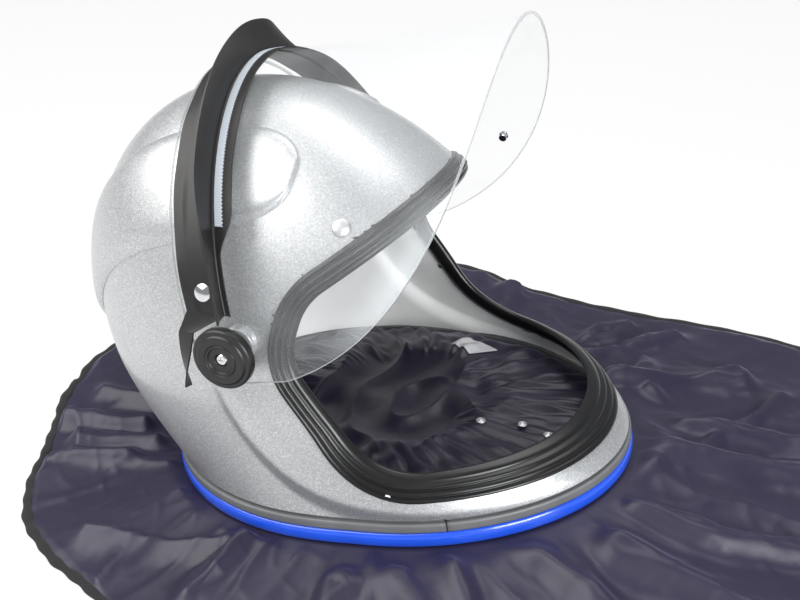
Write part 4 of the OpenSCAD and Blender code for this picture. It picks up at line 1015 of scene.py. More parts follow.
class HELMET_OT_duct(bpy.types.Operator):
    """Build the air duct that runs round the back to both temples"""
    bl_idname = "helmet.duct"
    bl_label = "Air duct"

    course = ((63, 34), (76, 36.5), (92, 39.5), (115, 40.5), (137, 37), (154, 32), (169, 26.5),
              (181, 19.5), (189, 10.5), (192, 0))       # sight angles, left temple to nape
    half = (13, 14.5, 16, 17, 15.5, 13.5, 11.5, 10, 9, 8.5)     # half widths there, degrees
    sunk, proud = -1.2, 0.25        # levels of its foot and of its edge over the shell

    def execute(self, context):
        """A lobe along a curve of sight angles: its height over the shell is
        rise (1 - |u|^e) across, faded at the ends."""
        k, d = kit(), sizes("duct")
        path = np.array([*self.course, *((x, -y) for x, y in self.course[-2::-1])], float)
        half = np.array([*self.half, *self.half[-2::-1]], float)
        last = len(path) - 1
        t = np.concatenate([1 - np.cos(np.linspace(0.02, np.pi / 2, 26)),
                            np.linspace(1, last - 1, 230)[1:-1],
                            last - 1 + np.sin(np.linspace(0, np.pi / 2 - 0.02, 26))])
        u = np.sin(np.linspace(-np.pi / 2, np.pi / 2, 49))
        c = catmull(path, t)
        g = catmull(path, np.minimum(last, t + 0.05)) - catmull(path, np.maximum(0, t - 0.05))
        shrink = np.cos(np.radians(c[:, 1]))
        flat = unit(np.stack([g[:, 0] * shrink, g[:, 1]], -1))
        across = np.stack([-flat[:, 1] / shrink, flat[:, 0]], -1)
        e = np.minimum(t, last - t)
        w = catmull(half, t) * np.sqrt(np.clip(1 - (1 - np.minimum(e, 1)) ** 2, 0, 1))
        q = c[:, None] + across[:, None] * (w[:, None] * u)[..., None]
        high = d.rise * (1 - np.abs(u) ** d.edge) * ease(e / 0.16)[:, None]
        rays = unit(k.shell.sight(q[..., 0], q[..., 1]) - k.shell.centre)
        top, foot = k.shell.ray(rays, self.proud + high), k.shell.ray(rays, self.sunk)
        ring = np.concatenate([top, foot[:, ::-1]], 1)
        o = k.piece("duct_lobe", ring, wrap_v=True, caps=True)
        finish(o, k.look.silver, "helmet", ["duct_cowl"])
        return {"FINISHED"}


class HELMET_OT_seal(bpy.types.Operator):
    """Build the ribbed rubber seal round the face opening"""
    bl_idname = "helmet.seal"
    bl_label = "Face seal"

    def execute(self, context):
        """A closed section of lip, groove, two beads and bulb, carried round the cut line."""
        k = kit()
        b, h, lip = k.opening.s.bulb, k.opening.s.rise, k.opening.s.lip
        over = [[-lip, 0.3], [-lip, 1.3], [-lip + 0.5, 2.3], [-lip + 1.4, 2.9], [0, 2.8],
                [0.6, 2.1], [1.1, 1.9], [1.7, 2.2]]
        beads = [[2.3, h], [3.4, h + 0.2], [4.4, h - 0.3], [4.9, h - 1.4], [5.4, h - 1.6],
                 [5.9, h - 1.3], [6.5, h - 0.3], [7.6, h - 0.4], [8.4, h - 1.7], [8.9, h - 2.4],
                 [9.4, h - 2.3], [10.2, h - 2.4], [11.2, h - 3.2]]
        bulb = [[b - 0.6, -1.1], [b, -2.4], [b - 0.2, -3.8], [b - 0.9, -5.0], [b - 2.4, -6.2]]
        under = [[6, -7.1], [3.4, -7.4], [1.6, -6.6], [0.5, -5], [0.45, -2], [0.45, 0.3], [-1, 0.3]]
        section = over + beads + bulb + under
        ring = catmull(section, np.arange(0, len(section), 0.5), closed=True)
        o = k.piece("face_seal", k.opening.sweep(ring, 190), wrap_u=True, wrap_v=True)
        finish(o, k.look.seal, "helmet", ["opening_seal"])
        return {"FINISHED"}


class HELMET_OT_rim(bpy.types.Operator):
    """Build the grey edging profile and the blue band that clamps the cape"""
    bl_idname = "helmet.rim"
    bl_label = "Rim and band"

    butt_half = 0.3 / 130           # half the angle that the butt joint stands open
    steps = 320

    def execute(self, context):
        """Rounded sections of (outset, level) pairs carried round the rim."""
        k, r = kit(), sizes("rim")
        low = r.groove + r.profile
        end = low + r.band
        corners = [[-r.depth, -3], [-r.depth, 0], [-2.5, 0], [-2.5, -r.groove],
                   [1.0, -r.groove], [1.7, -r.groove - 1.2], [1.7, -low + 1.2], [1.0, -low],
                   [-r.depth, -low], [-r.depth, -3]]
        a = np.linspace(r.butt + self.butt_half, r.butt - self.butt_half + 2 * np.pi, self.steps)
        ring = k.shell.carried(a, rounded(corners, 0.7, 5)[:-1])
        o = k.piece("edging_profile", ring, wrap_v=True, caps=True)
        finish(o, k.look.profile, "helmet", ["rim_profile"])
        t = np.linspace(-np.pi / 2, np.pi / 2, 15)
        out = np.stack([r.bulge * np.cos(t) ** 0.8 - 0.2,
                        -low - r.band / 2 - np.sin(t) * (r.band / 2 - 0.1)], -1)[::-1]
        section = np.concatenate([[[-r.depth, -low - 0.02], [-2, -low - 0.02]], out,
                                  [[-2, -end], [-r.depth, -end], [-r.depth, -low - 5]]])
        ring = k.shell.carried(full_turn(self.steps), section)
        o = k.piece("clamping_band", ring, wrap_u=True, wrap_v=True)
        finish(o, k.look.band, "helmet", ["cape_band"])
        return {"FINISHED"}


class HELMET_OT_visor(bpy.types.Operator):
    """Build the clear visor sheet"""
    bl_idname = "helmet.visor"
    bl_label = "Visor"

    columns, rows, tab_rows = 181, 37, 13
    edge_in, edge_out = [0, 0.0035, 0.007], [0.993, 0.9965, 1]  # close rows at both edges
    edge_fade = [1, 0.6, 0, 0, 0.6, 1]
    tab_share = 0.35                # part of the side that runs straight down to the tab
    tab_turn = 180, 278             # degrees of the tab's arc, at the upper and lower ends
    haze_patch = -0.72, 0.2, 9             # middle and half length of the whitish hazy patch, its falloff

    def execute(self, context):
        """Ruled sheet in s and w; at each side it runs on into a flat tab bounded by an arc
        about the pivot."""
        k = kit()
        v = k.visor.s
        n = self.columns
        s = 0.5 * np.sin(np.linspace(-np.pi / 2, np.pi / 2, n)) + 0.5 * np.linspace(-1, 1, n)
        w = np.concatenate([self.edge_in, np.linspace(0.03, 0.97, self.rows), self.edge_out])
        m = len(w)
        sheet = k.visor.at(s[:, None] * np.ones(m), np.ones((n, 1)) * w)
        rows = np.concatenate([np.linspace(0, 0.94, self.tab_rows)[1:], [0.965, 0.982, 1]])
        share = np.clip(w / self.tab_share, 0, 1)[:, None]
        on_arc = 1 - (w - self.tab_share) / (1 - self.tab_share)
        first, last = self.tab_turn
        turn = np.radians(np.where(w > self.tab_share, first + on_arc * (last - first), last))
        arc = np.stack([v.tab * np.cos(turn), np.zeros(m), v.tab * np.sin(turn)], -1)
        tabs = []
        for side, _ in SIDES:
            top = k.visor.at(np.full(m, float(side)), w)
            base = top[0] * (1 - share) + arc * share
            base[:, 1] = side * v.half
            tab = top * (1 - rows[:, None, None]) + base * rows[:, None, None]
            tabs.append(tab[::-1] if side < 0 else tab)
        p = np.concatenate([tabs[0], sheet, tabs[1]]) + k.visor.pivot
        n = len(p)
        o = mesh("visor_sheet", k.seat.metres(p).reshape(-1, 3), cells(n, m))
        ends = np.interp(np.arange(n), [0, 1, 2, n - 3, n - 2, n - 1], self.edge_fade)
        along_edge = np.interp(w, self.edge_in + self.edge_out, self.edge_fade)
        middle, half, fall = self.haze_patch
        haze = np.zeros((n, m))
        haze[len(rows):-len(rows)] = (np.clip(1 - np.abs(s - middle) / half, 0, 1)[:, None]
                                      * np.exp(-(w * fall) ** 2))
        for key, field in (("edge", np.maximum(ends[:, None], along_edge)), ("haze", haze)):
            attribute = o.data.attributes.new(key, "FLOAT", "POINT")
            attribute.data.foreach_set("value", field.astype(np.float32).ravel())
        settle(o, k.seat.metres(HEAD))
        finish(o, k.look.clear, "visor", ["visor"], v.sheet, 0)
        return {"FINISHED"}


class HELMET_OT_flaps(bpy.types.Operator):
    """Build the vinyl flaps, their tape and their rivets"""
    bl_idname = "helmet.flaps"
    bl_label = "Flaps"

    steps = 420
    reach, rear_reach, tape_reach = (-0.86, 0.86), (-0.87, 0.87), (-0.64, 0.42)
    lay = 4, 16, 82                 # degrees that the front flap leans: middle, right, left
    rivet_s, rivet_e, rivet_lean = 0.81, 19.0, math.radians(84)
    tail = ((-24, -139.5, 14, 10), (-26, -140.5, 2, 35), (-27.5, -141.5, -10, 65),
            (-28, -142, -22, 95))   # the hanging end: a point and its turn in degrees
    tail_half = 5.5

    def execute(self, context):
        """Strips over the visor's upper edge, each a path of (distance from the edge,
        height) points. The front one turns up from its seam by an angle that follows the
        place along the visor, and the rear one runs on into a twisted tail."""
        k, f = kit(), sizes("flap")
        base = k.visor.s.sheet / 2 + 0.2
        wave = lambda n, by=0: np.sin(n * s + by)

        def dress(name, p, paint, nodes, slot, thick):
            finish(k.piece(name, p, HEAD), paint, "visor", nodes, thick, 0)

        s = np.linspace(*self.reach, self.steps)[:, None]
        t, q = np.linspace(0, 1, 34)[None], np.linspace(0, 1, 14)[None]
        up, back, down = self.lay
        lay = np.radians(up - back * ease((-s - 0.5) / 0.3) + down * ease((s - 0.1) / 0.32))
        lay = lay + (0.08 * wave(9) + 0.12 * wave(4.3, 1)) * t
        run = f.width * t * (1 + 0.02 * wave(17))
        free = np.stack([f.seam - np.sin(lay) * run,
                         base + f.vinyl * 1.6 + np.cos(lay) * run], -1)
        wide = f.flange * (0.3 + 0.7 * ease((s + 0.72) / 0.12))
        lift = 0.3 * wave(23) * (1 - q) ** 2 * ease((s + 0.7) / 0.1)
        lead = np.stack([f.seam + wide * (1 - q) + 2.0 * q, base + f.vinyl * 0.55 + lift], -1)
        bend = np.array([f.seam + 0.8, base + f.vinyl * 0.8]) * np.ones((len(s), 1, 2))
        path = np.concatenate([lead, bend, free], 1)
        p = k.visor.over(s, path[..., 0], path[..., 1])
        dress("front_flap", p, k.look.vinyl, ["flap_front"], "vinyl", f.vinyl)

        e = np.linspace(f.rear + 7.5, f.seam - 1.2, 20)[None]
        high = base + f.vinyl * 1.4 + 0.5 * ease((f.rear + 11 - e) / 4) * (1 + wave(19))
        p = k.visor.over(s, e + 0.5 * wave(13), high)
        dress("middle_flap", p, k.look.vinyl, (), "vinyl", f.vinyl * 0.8)

        s = np.linspace(*self.rear_reach, self.steps)[:, None]
        e = np.linspace(f.rear, f.seam - 3, 24)[None]
        high = base + f.vinyl * 0.45 + 0.35 * (1 + wave(31)) * ease((f.rear + 6 - e) / 6)
        p = k.visor.over(s, e, high)
        q = catmull(self.tail, np.linspace(3, 0, 60))
        turn = np.radians(q[:, 3])
        wide = np.stack([np.cos(turn), -0.5 * np.sin(turn), 0.1 * np.ones_like(turn)], -1)
        across = np.linspace(-1, 1, 24)[None, :, None]
        strip = q[:, None, :3] + (wide * self.tail_half)[:, None] * across + k.visor.pivot
        blend = ease(np.linspace(0, 1, 14)[1:-1])[:, None, None]
        p = np.concatenate([strip, strip[-1] * (1 - blend) + p[0] * blend, p])
        dress("rear_flap", p, k.look.vinyl, ["flap_rear"], "vinyl", f.vinyl * 0.9)

        n = 900
        s = np.linspace(*self.tape_reach, n)[:, None]
        saw = np.abs((np.arange(n)[:, None] / 4.0) % 2 - 1)
        e = f.seam + 2.2 + np.linspace(0, 1, 6)[None] * (f.tape + f.pink * (saw - 0.5))
        p = k.visor.over(s, e, base + f.vinyl * 1.15 + 0.25)
        dress("flap_tape_strip", p, k.look.tape, ["flap_tape"], "tape", 0.4)

        laid = f.vinyl + (f.seam - self.rivet_e + f.rivet) * math.cos(self.rivet_lean)
        for side, name in SIDES:
            top = base + f.vinyl * 1.1 + 0.2 + (laid if side > 0 else 0)
            foot, out = (k.visor.over(side * self.rivet_s, self.rivet_e, h) for h in (0.0, 1.0))
            head = dome(f.rivet, 2.1) + [0, top]
            o = k.turned("flap_rivet_" + name, head, 48, along(foot, out - foot))
            finish(o, k.look.chrome, "visor", ["flap_rivets"] if side < 0 else ())
        return {"FINISHED"}


class HELMET_OT_knobs(bpy.types.Operator):
    """Build the stepped pivot knobs"""
    bl_idname = "helmet.knobs"
    bl_label = "Pivot knobs"

    def execute(self, context):
        """A turned profile of (radius, height) pairs about the pivot, in shares of the
        knob's radius: foot, side, step, two raised rings and the well of the screw."""
        k, n = kit(), sizes("knob")
        foot = k.visor.s.half + k.visor.s.sheet / 2 + n.gap
        top, r = foot + n.height, n.radius
        edge, well, seat = top - n.step, top - 1.1, top - 1.2 - 2.2
        side_wall = [[3, foot], [r - 0.8, foot], [r, foot + 0.8], [r, edge - 1]]
        step = [[r - 0.9, edge], [r * 0.84, edge], [r * 0.82, edge + 0.35], [r * 0.79, top - 0.1]]
        rings = [[r * 0.77, top], [r * 0.55, top], [r * 0.535, top - 0.5],
                 [r * 0.51, top - 0.5], [r * 0.5, top], [r * 0.44, top]]
        screw = [[r * 0.42, well], [n.head + 0.6, well], [n.head + 0.3, top - 1.4],
                 [n.head + 0.3, seat], [3, seat], [3, foot]]
        ring = rounded(side_wall + step + rings + screw, 0.25, 3)
        for side, name in SIDES:
            o = k.turned("pivot_knob_" + name, ring, 128, k.visor.axle(side))
            finish(o, k.look.knob, "knob_" + name, ["knob_" + name])
        return {"FINISHED"}


class HELMET_OT_cape(bpy.types.Operator):
    """Build the spread cape and its binding"""
    bl_idname = "helmet.cape"
    bl_label = "Cape"

    # Main folds: (degrees from the front, distance from the middle) points, height, width.
    folds = (
        (((-101, 146), (-102, 200)), 9, 7), (((-129, 214), (-119, 185), (-105, 155)), 10, 8),
        (((-159, 160), (-159, 215)), 9, 8), (((-166, 175), (-166, 236)), 11, 9),
        (((-153, 180), (-153, 236)), 8, 8), (((167, 200), (167, 250)), 12, 10),
        (((-175, 165), (-176, 225)), 8, 9), (((3, 205), (-17, 177), (-24, 166)), 9, 8),
        (((36, 180), (36, 300)), 14, 11), (((52, 180), (52, 300)), 11, 10),
        (((7, 194), (12, 330)), 10, 12), (((-2, 330), (-9, 263), (-12, 205)), 12, 9),
        (((60, 200), (60, 290)), 9, 9), (((46, 244), (32, 220)), 8, 9),
        (((19, 230), (19, 380)), 13, 12), (((13, 240), (31, 328)), 8, 8),
        (((-51, 160), (-51, 230)), 9, 8), (((-62, 170), (-56, 260)), 9, 9),
        (((-36, 170), (-30, 330)), 12, 11), (((-22, 220), (-14, 400)), 9, 12),
        (((-75, 170), (-82, 260)), 9, 9), (((-44, 250), (-40, 380)), 8, 12),
        (((80, 190), (84, 290)), 10, 10), (((100, 190), (98, 300)), 11, 10),
        (((118, 190), (122, 290)), 9, 9), (((138, 190), (140, 280)), 11, 10),
        (((153, 190), (151, 270)), 9, 9))
    laid, fall = 1.6, 2.6           # level of cloth on the floor, power of its fall
    ring, narrowing = 130, 0.28     # creases narrow towards this radius, by this share
    steps, rows = 480, 92
    pleat = 6                       # steps in one stitch of the binding

    def height(self, x, y, share, root, crumple):
        """Level of the cloth: root (1 - share)^fall down from the band to the floor, and on
        it the highest of the folds, each exp(-(d/w)^2) in the distance d to its line, with
        creases of three lengths that run outwards."""
        z = self.laid + (root - self.laid) * (1 - share) ** self.fall
        ridge, wander = np.zeros_like(z), 5 * ripple(x, y, 70, 5)
        for line, high, wide in self.folds:
            q = np.array([[r * math.cos(math.radians(f)), r * math.sin(math.radians(f))]
                          for f, r in line])
            best = np.full(z.shape, 1e9)
            for a, b in zip(q[:-1], q[1:]):
                d = b - a
                t = np.clip(((x - a[0]) * d[0] + (y - a[1]) * d[1]) / (d @ d), 0, 1)
                best = np.minimum(best, np.hypot(x - a[0] - t * d[0], y - a[1] - t * d[1]))
            ridge = np.maximum(ridge, high * np.exp(-((best + wander) / wide) ** 2))
        far = np.maximum(np.hypot(x, y), 1.0)
        near = (self.ring + self.narrowing * (far - self.ring)) / far
        lx, ly = x * near + 5 * ripple(x, y, 120, 21), y * near + 5 * ripple(x, y, 120, 22)
        live = ease(share / 0.12) * ease((1.02 - share) / 0.1)
        creases = (1.8 * creased(lx, ly, 66, 31, 2.2) + 0.55 * creased(lx, ly, 32, 32, 2.2)
                   + 0.3 * creased(x + lx, y, 50, 33, 2.5) + 0.9 * ripple(x, y, 150, 9) ** 2)
        return z + (ridge * 0.95 + crumple * creases) * live

    def execute(self, context):
        """Rays from the band's lower edge out to the cape's outline; the level over the
        floor is the height function. The binding is an ellipse carried round the edge."""
        k, c, r = kit(), sizes("cape"), sizes("rim")
        end = r.groove + r.profile + r.band
        n = self.steps
        a = full_turn(n)
        root, inner = (k.seat.down(k.shell.rim(a, out, -end - 0.3)) + k.seat.mid
                       for out in (0.9, -r.depth))
        phi = np.arctan2(root[:, 1], root[:, 0])
        reach = catmull(c.reach, (np.degrees(phi) % 360) / 20, closed=True)
        edge = np.stack([np.cos(phi), np.sin(phi), 0 * phi], -1) * reach[:, None]
        share = np.linspace(0, 1, self.rows) ** 0.9
        p = root[:, None] * (1 - share[None, :, None]) + edge[:, None] * share[None, :, None]
        last = ease((share - 0.85) / 0.15)
        wob = 2.2 * ripple(phi[:, None] * 160, share[None] * 3, 40, 77) * last
        p[..., :2] += unit(edge)[:, None, :2] * (wob - 2.5 * last)[..., None]
        p[..., 2] = self.height(p[..., 0], p[..., 1], share[None] + 0 * phi[:, None],
                                root[:, 2:3], c.crumple)
        p = np.concatenate([inner[:, None], p], 1)
        o = surface("cape_cloth", k.seat.floor(p), wrap_u=True, inside=UNDER_FLOOR)
        finish(o, k.look.cape, "helmet", ["cape"], c.cloth, -1)

        ring = p[:, -1]
        turn = np.roll(ring, -1, 0) - np.roll(ring, 1, 0)
        out = unit(np.stack([turn[:, 1], -turn[:, 0], 0 * turn[:, 0]], -1))
        out *= np.sign((out * ring).sum(-1).mean())
        q, i = full_turn(14), np.arange(n)
        swell = 1 + 0.16 * np.sin(i * 2 * np.pi / self.pleat) + 0.1 * ripple(i, 0, 9, 3)
        hem = ring[:, None] + out[:, None] * (np.cos(q) * c.hem / 2)[None, :, None] \
            * swell[:, None, None]
        hem[..., 2] = np.maximum(0.15, ring[:, None, 2] + np.sin(q) * 1.5 * swell[:, None])
        o = surface("cape_binding", k.seat.floor(hem), wrap_u=True, wrap_v=True)
        finish(o, k.look.binding, "helmet", ["cape_hem"])
        return {"FINISHED"}


class HELMET_OT_collar(bpy.types.Operator):
    """Build the gathered collar, its blank label and its fasteners"""
    bl_idname = "helmet.collar"
    bl_label = "Collar"

    # Its way in from the band: (share out from the neck hole, level) points.
    rise = [[1, -14], [0.995, -3], [0.8, 5], [0.55, 10], [0.3, 13], [0.12, 13], [0, 10.5],
            [-0.14, 8], [-0.32, 6], [-0.52, 5], [-0.76, 4.5], [-1, 4.5]]
    rise_for = 17                   # the collar height that those levels go with
    neck_x = 15
    swell_at, swell_half = 68, 26   # degrees where it stands highest, and how far that goes
    label_turn, label_place = (55, 69), (4.7, 3.3)
    stud_places = (344, 4.4), (352, 3.4), (348, 2.6)
    stud = ((0.01, 0), (3.4, 0), (3.6, 0.8), (2.9, 1.6), (2.2, 1.7), (1.9, 1.4), (1.2, 2.2),
            (0.01, 2.5))

    def at(self, a, f, gather=1.0):
        """Collar point at angle a and place f from the band to the neck: a curve of (share
        out, level) pairs with gathers that radiate from the neck and fade inwards, where
        loose irregular folds take over."""
        k, c, r = kit(), sizes("cape"), sizes("rim")
        d = np.abs(np.degrees(a) % 360 - self.swell_at)
        d = np.where(d > 180, 360 - d, d)
        swell = (0.75 + 0.65 * np.exp(-(d / self.swell_half) ** 2)
                 + 0.12 * np.sin(5 * a + 0.35) + 0.08 * np.sin(9 * a))
        o = k.shell.rim(a, -r.depth - 0.4, 0.0)
        hole = c.neck + 2.5 * np.sin(7 * a)
        g = np.stack([self.neck_x + np.cos(a) * hole, np.sin(a) * hole, 0 * a], -1)
        way, inward = o - g, g - [self.neck_x, 0, 0]
        q = catmull(self.rise, f)
        p = g + way * np.maximum(q[..., :1], 0) + inward * np.minimum(q[..., :1], 0)
        x, y = p[..., 0], p[..., 1]
        fuller = np.where(q[..., 1] > 0, 1 + (swell - 1) * ease((9 - f) / 3), 1)
        high = q[..., 1] * c.collar / self.rise_for * fuller
        warp = a + 0.05 * np.sin(3 * a) + 0.02 * f
        fold = (0.9 * np.sin(23 * warp + 1.5 * np.sin(2 * a)) + 0.6 * np.sin(41 * warp + f)
                + 0.8 * ripple(x, y, 34, 6))
        fold = fold * (1 - ease((f - 4.0) / 2.6))
        loose = 5.0 * creased(x, y * 0.7, 64, 8, 2) + 1.6 * ripple(x * 0.7, y, 40, 12)
        fade = ease((f - 0.9) / 0.8) * ease((10.9 - f) / 2.0)
        p[..., 2] = high + gather * (1.9 * (np.abs(fold) ** 1.3 - 0.9) * fade
                                     + loose * ease((f - 3.2) / 2.4))
        sway = gather * 0.9 * fold * ease((f - 4.5) / 1.2) * ease((9.5 - f) / 2)
        p[..., :2] += unit(way)[..., :2] * sway[..., None]
        return p

    def execute(self, context):
        """The collar's sheet, a label that follows its smoothed form, and three studs."""
        k = kit()
        p = self.at(*grid(full_turn(500), np.linspace(0, 11, 88)))
        o = k.piece("neck_collar", p, BELOW, wrap_u=True)
        finish(o, k.look.collar, "helmet", ["inner_collar"], 1.0, -1)

        place = grid(np.radians(np.linspace(*self.label_turn, 30)),
                     np.linspace(*self.label_place, 22))
        cloth = self.at(*place)
        p = self.at(*place, 0.0) * 0.6 + cloth * 0.4
        p[..., 2] = np.maximum(p[..., 2], cloth[..., 2]) + 0.9
        o = k.piece("blank_label", p, BELOW)
        finish(o, k.look.label, "helmet", ["collar_label"], 0.5, 0)

        ring = rounded(self.stud, 0.3, 3)
        for i, (deg, f) in enumerate(self.stud_places, 1):
            foot = self.at(np.array(math.radians(deg)), np.array(f)) + [0, 0, 0.6]
            o = k.turned("press_stud_%d" % i, ring, 40, along(foot, [0.1, 0.1, 1]))
            finish(o, k.look.steel, "helmet", ["collar_snaps"] if i == 1 else ())
        return {"FINISHED"}


class HELMET_OT_harness(bpy.types.Operator):
    """Build the straps, pads and rivets of the head harness"""
    bl_idname = "helmet.harness"
    bl_label = "Harness"

    # Places are sight angles: degrees up from the front, and to the left.
    temple, nape = (39.6, 38.0), (165.0, 0.0)
    strap_half, strap_radius = 20, 260
    strap_thick, strap_sag = 1.8, 15
    tuck = 2.15                     # the left strap's dip under the right one, at the nape
    pad_at, pad_half, pad_down = 112, (20.4, 38.4), 22.2
    brow_span, brow_end = 50, 52    # degrees that the pad runs each way, and to its taper
    brow_reach, brow_middle = (92, 76), (-44, 147)
    ports = 91.0, 39.0
    diffuser = ((8.6, -14.5), (14.4, -14.5), (15.0, -13.6), (15.0, -8.1), (14.4, -7.2),
                (8.6, -7.2), (8.6, -14.5))

    def strap(self, side):
        """A strip along the great arc between two rivets, at a depth under the dome that
        sags like a half sine."""
        f = kit().shell
        a = unit(f.sight(self.temple[0], side * self.temple[1]) - f.centre)
        b = unit(f.sight(*self.nape) - f.centre)
        t, q = np.linspace(-0.025, 1.04, 110), np.linspace(-1, 1, 13)
        w = math.acos(float(a @ b))
        d = (a * np.sin(w * (1 - t))[:, None] + b * np.sin(w * t)[:, None]) / math.sin(w)
        wide = unit(np.cross(a, b)) * self.strap_half / self.strap_radius
        rays = unit(d[:, None] + wide * q[None, :, None])
        run = np.maximum(0, np.sin(np.pi * np.clip((t - 0.09) / 0.82, 0, 1)))
        dip = self.tuck * ease((t - 0.62) / 0.26) if side > 0 else 0
        o = -(f.s.wall + 0.9 + self.strap_sag * run ** 0.8 + dip)[:, None]
        top = f.ray(rays, o + 0 * q[None])
        low = f.ray(rays, o - self.strap_thick + 0.25 * np.abs(q[None]) ** 6)
        return np.concatenate([top, low[:, ::-1]], 1)

    def crown_pad(self):
        """Upper and lower faces over a disc, a half ellipsoid's height apart, with two
        seams across: a square grid drawn into the disc by x = u sqrt(1 - v2/2)."""
        f, row = kit().shell, np.linspace(-1, 1, 45)
        u, v = grid(row, row)
        x, y = u * np.sqrt(1 - v ** 2 / 2), v * np.sqrt(1 - u ** 2 / 2)
        bulge = np.sqrt(np.clip(1 - x ** 2 - y ** 2, 0, 1))
        seam = 1 - 0.28 * np.exp(-((np.abs(x) - 0.33) / 0.05) ** 2) * (bulge > 0.2)
        place = self.pad_at + x * self.pad_half[0], y * self.pad_half[1]
        top = f.sight(*place, -self.pad_down - 0.9 + 0.9 * bulge)
        low = f.sight(*place, -self.pad_down - 0.9 - 8 * bulge * seam)
        quads = cells(len(row), len(row))
        both = np.concatenate([quads, quads[:, ::-1] + top[..., 0].size])
        points = kit().seat.metres(np.stack([top, low])).reshape(-1, 3)
        return settle(mesh("crown_cushion", points, both))

    def brow_pad(self):
        """A rounded section carried round the brow, thinner at its ends and two seams."""
        turn, q = np.radians(np.linspace(-self.brow_span, self.brow_span, 90)), full_turn(26)
        thick = 1.5 + 5 * np.sqrt(np.clip(1 - (np.degrees(turn) / self.brow_end) ** 2, 0, 1))
        thick = thick * (1 - 0.22 * np.exp(-((np.abs(np.degrees(turn)) - 17) / 1.6) ** 2))
        ins = 2.4 + thick[:, None] * (0.5 - 0.5 * power(np.cos(q), 0.6))[None]
        high = 11 * power(np.sin(q), 0.8)[None] * np.ones_like(ins)
        x = (self.brow_reach[0] - ins) * np.cos(turn)[:, None]
        y = (self.brow_reach[1] - ins) * np.sin(turn)[:, None]
        bx = self.brow_middle[0] + x
        level = self.brow_middle[1] + 0.3 * (bx - self.brow_middle[0]) + high
        return kit().piece("brow_cushion", np.stack([bx, y, level], -1), wrap_v=True, caps=True)

    def execute(self, context):
        """Straps, pads, and the rivets and foam rings that stand on the dome's normal."""
        k = kit()
        for side, name in SIDES:
            o = k.piece("crown_webbing_" + name, self.strap(side), wrap_v=True, caps=True)
            finish(o, k.look.webbing, "helmet", ["crown_strap_" + name])
        o = self.crown_pad()
        finish(o, k.look.foam, "helmet", ["crown_pad"])
        o = self.brow_pad()
        finish(o, k.look.foam, "helmet", ["brow_pad"])
        head = dome(sizes("flap").rivet + 0.1, 2.3) + [0, 0.1]
        al, be = self.temple
        for i, place in enumerate(((al, -be), (al, be), self.nape), 1):
            o = k.turned("shell_rivet_%d" % i, head, 48, k.shell.stand(*place))
            finish(o, k.look.steel, "helmet", ())
        ring = rounded(self.diffuser, 0.9)
        al, be = self.ports
        for i, place in enumerate(((al, -be), (al, be)), 1):
            o = k.turned("diffuser_foam_%d" % i, ring, 56, k.shell.stand(*place))
            finish(o, k.look.foam, "helmet", ["air_diffusers"] if i == 1 else ())
        return {"FINISHED"}


class HELMET_OT_fittings(bpy.types.Operator):
    """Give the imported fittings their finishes"""
    bl_idname = "helmet.fittings"
    bl_label = "Fittings"

    def execute(self, context):
        """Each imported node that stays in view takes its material."""
        look = kit().look
        dress = {
            look.fitting: ("pivot_bush_right", "pivot_bush_left", "air_ports", "air_inlet",
                           "inlet_nut"),
            look.steel: ("pivot_nut_right", "pivot_nut_left", "harness_rivets"),
            look.chrome: ("visor_studs", "pivot_screw_right", "pivot_screw_left"),
            look.gasket: ("inlet_gasket",),
            look.webbing: ("headband_hangers",),
            look.plastic: ("headband", "headband_rear", "ratchet_housing"),
            look.knob: ("ratchet_knob",)}
        for paint, nodes in dress.items():
            for node in nodes:
                data = frame["nodes"][node].data
                data.materials.clear()
                data.materials.append(paint)
        return {"FINISHED"}


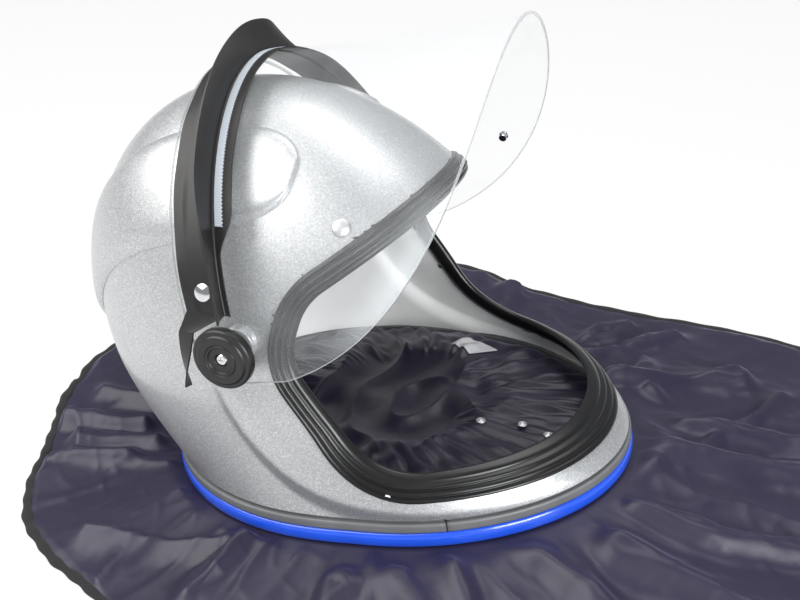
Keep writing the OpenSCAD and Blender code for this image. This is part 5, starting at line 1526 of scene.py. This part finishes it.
class HELMET_OT_stage(bpy.types.Operator):
    """Set the camera, the pale floor and the soft studio light"""
    bl_idname = "helmet.stage"
    bl_label = "Stage"

    camera_at = np.array([269.9, -637.2, 483.5])        # before the plan shift
    camera_back = 0.3207, -0.8275, 0.4608
    sensor, lens, clip = 36.0, 50.19, (0.01, 20)
    floor_half, floor_level, floor_glow = 30, -0.0002, 0.88
    sky, sky_strength = (0.93, 0.96, 1, 1), 0.31
    aim = -0.05, -0.02, 0.12
    # Name, place, size, watts and tint.
    lamps = (("key", (-0.85, -0.6, 1.3), (1.7, 1.5), 32, (1, 0.99, 0.97)),
             ("fill", (1.1, -0.8, 0.62), (0.7, 0.6), 20, (0.98, 0.99, 1)),
             ("top", (0.1, 0.7, 1.8), (1.4, 0.8), 12, (1, 1, 1)))

    def place(self, name, data, at, back):
        """A camera or lamp that looks the other way from back."""
        o = bpy.data.objects.new(name, data)
        o.location = at
        o.rotation_mode = "QUATERNION"
        o.rotation_quaternion = (-Vector(back).normalized()).to_track_quat("-Z", "Y")
        bpy.context.scene.collection.objects.link(o)
        return o

    def floor(self):
        """A wide flat grid that glows white to the camera and takes the helmet's shadow."""
        t = np.linspace(-self.floor_half, self.floor_half, 9)
        x, y = grid(t, t)
        o = surface("floor", np.stack([x, y, 0 * x + self.floor_level], -1), inside=UNDER_FLOOR)
        p = Paint("floor")
        ray = p.node("ShaderNodeLightPath").outputs
        camera, glossy, through = (Value(p, ray["Is %s Ray" % kind])
                                   for kind in ("Camera", "Glossy", "Transmission"))
        matt = p.node("ShaderNodeBsdfPrincipled", None,
                      {"Base Color": (0.86, 0.86, 0.87, 1), "Roughness": 0.7})
        glow = p.node("ShaderNodeEmission", None, {"Color": (1, 1, 1, 1), "Strength": 1.0})
        share = camera.most(glossy).most(through) * self.floor_glow
        p.end(p.node("ShaderNodeMixShader", None,
                     {0: share, 1: matt.outputs[0], 2: glow.outputs[0]}).outputs[0])
        o.data.materials.append(p.material)

    def sky_light(self):
        """A world that fills the shadows softly and is white to the camera."""
        world = bpy.data.worlds.new("studio")
        w = Nodes(world, "ShaderNodeOutputWorld")
        fill, white = (w.node("ShaderNodeBackground", None, {"Color": c, "Strength": strength})
                       for c, strength in ((self.sky, self.sky_strength), ((1, 1, 1, 1), 1.0)))
        ray = w.node("ShaderNodeLightPath").outputs["Is Camera Ray"]
        w.end(w.node("ShaderNodeMixShader", None,
                     {0: ray, 1: fill.outputs[0], 2: white.outputs[0]}).outputs[0])
        return world

    def execute(self, context):
        """Camera fitted to the helmet's place in the frame, floor, world and three lamps."""
        scene = context.scene
        data = bpy.data.cameras.new("camera")
        data.sensor_width, data.lens = self.sensor, self.lens
        data.clip_start, data.clip_end = self.clip
        at = (self.camera_at - kit().seat.mid) / 1000
        scene.camera = self.place("camera", data, at, self.camera_back)
        self.floor()
        scene.world = self.sky_light()
        for name, at, size, watts, tint in self.lamps:
            data = bpy.data.lights.new(name, "AREA")
            data.shape, data.energy, data.color = "RECTANGLE", watts, tint
            data.size, data.size_y = size
            self.place(name, data, at, Vector(at) - Vector(self.aim))
        scene.view_settings.view_transform = "Standard"
        return {"FINISHED"}


OPERATORS = (HELMET_OT_stage, HELMET_OT_shell, HELMET_OT_duct, HELMET_OT_seal, HELMET_OT_rim,
             HELMET_OT_visor, HELMET_OT_flaps, HELMET_OT_knobs, HELMET_OT_cape,
             HELMET_OT_collar, HELMET_OT_harness, HELMET_OT_fittings)


class HELMET_PT_panel(bpy.types.Panel):
    """Sizes, colours and builders of the helmet"""
    bl_idname = "HELMET_PT_panel"
    bl_label = "Helmet"
    bl_space_type = "VIEW_3D"
    bl_region_type = "UI"
    bl_category = "Helmet"

    def draw(self, context):
        for key in GROUPS:
            group = getattr(context.scene, "helmet_" + key)
            box = self.layout.box()
            box.label(text=key.capitalize())
            for name in group.bl_rna.properties.keys():
                if name not in ("rna_type", "name"):
                    box.prop(group, name)
        for op in OPERATORS:
            self.layout.operator(op.bl_idname)


CLASSES = (*GROUPS.values(), *OPERATORS, HELMET_PT_panel)


def register():
    for cls in CLASSES:
        bpy.utils.register_class(cls)
    for key, cls in GROUPS.items():
        setattr(bpy.types.Scene, "helmet_" + key, PointerProperty(type=cls))


def unregister():
    for key in GROUPS:
        delattr(bpy.types.Scene, "helmet_" + key)
    for cls in reversed(CLASSES):
        bpy.utils.unregister_class(cls)


def main():
    register()
    for op in OPERATORS:
        group, name = op.bl_idname.split(".")
        getattr(getattr(bpy.ops, group), name)()


if __name__ == "__main__":
    main()
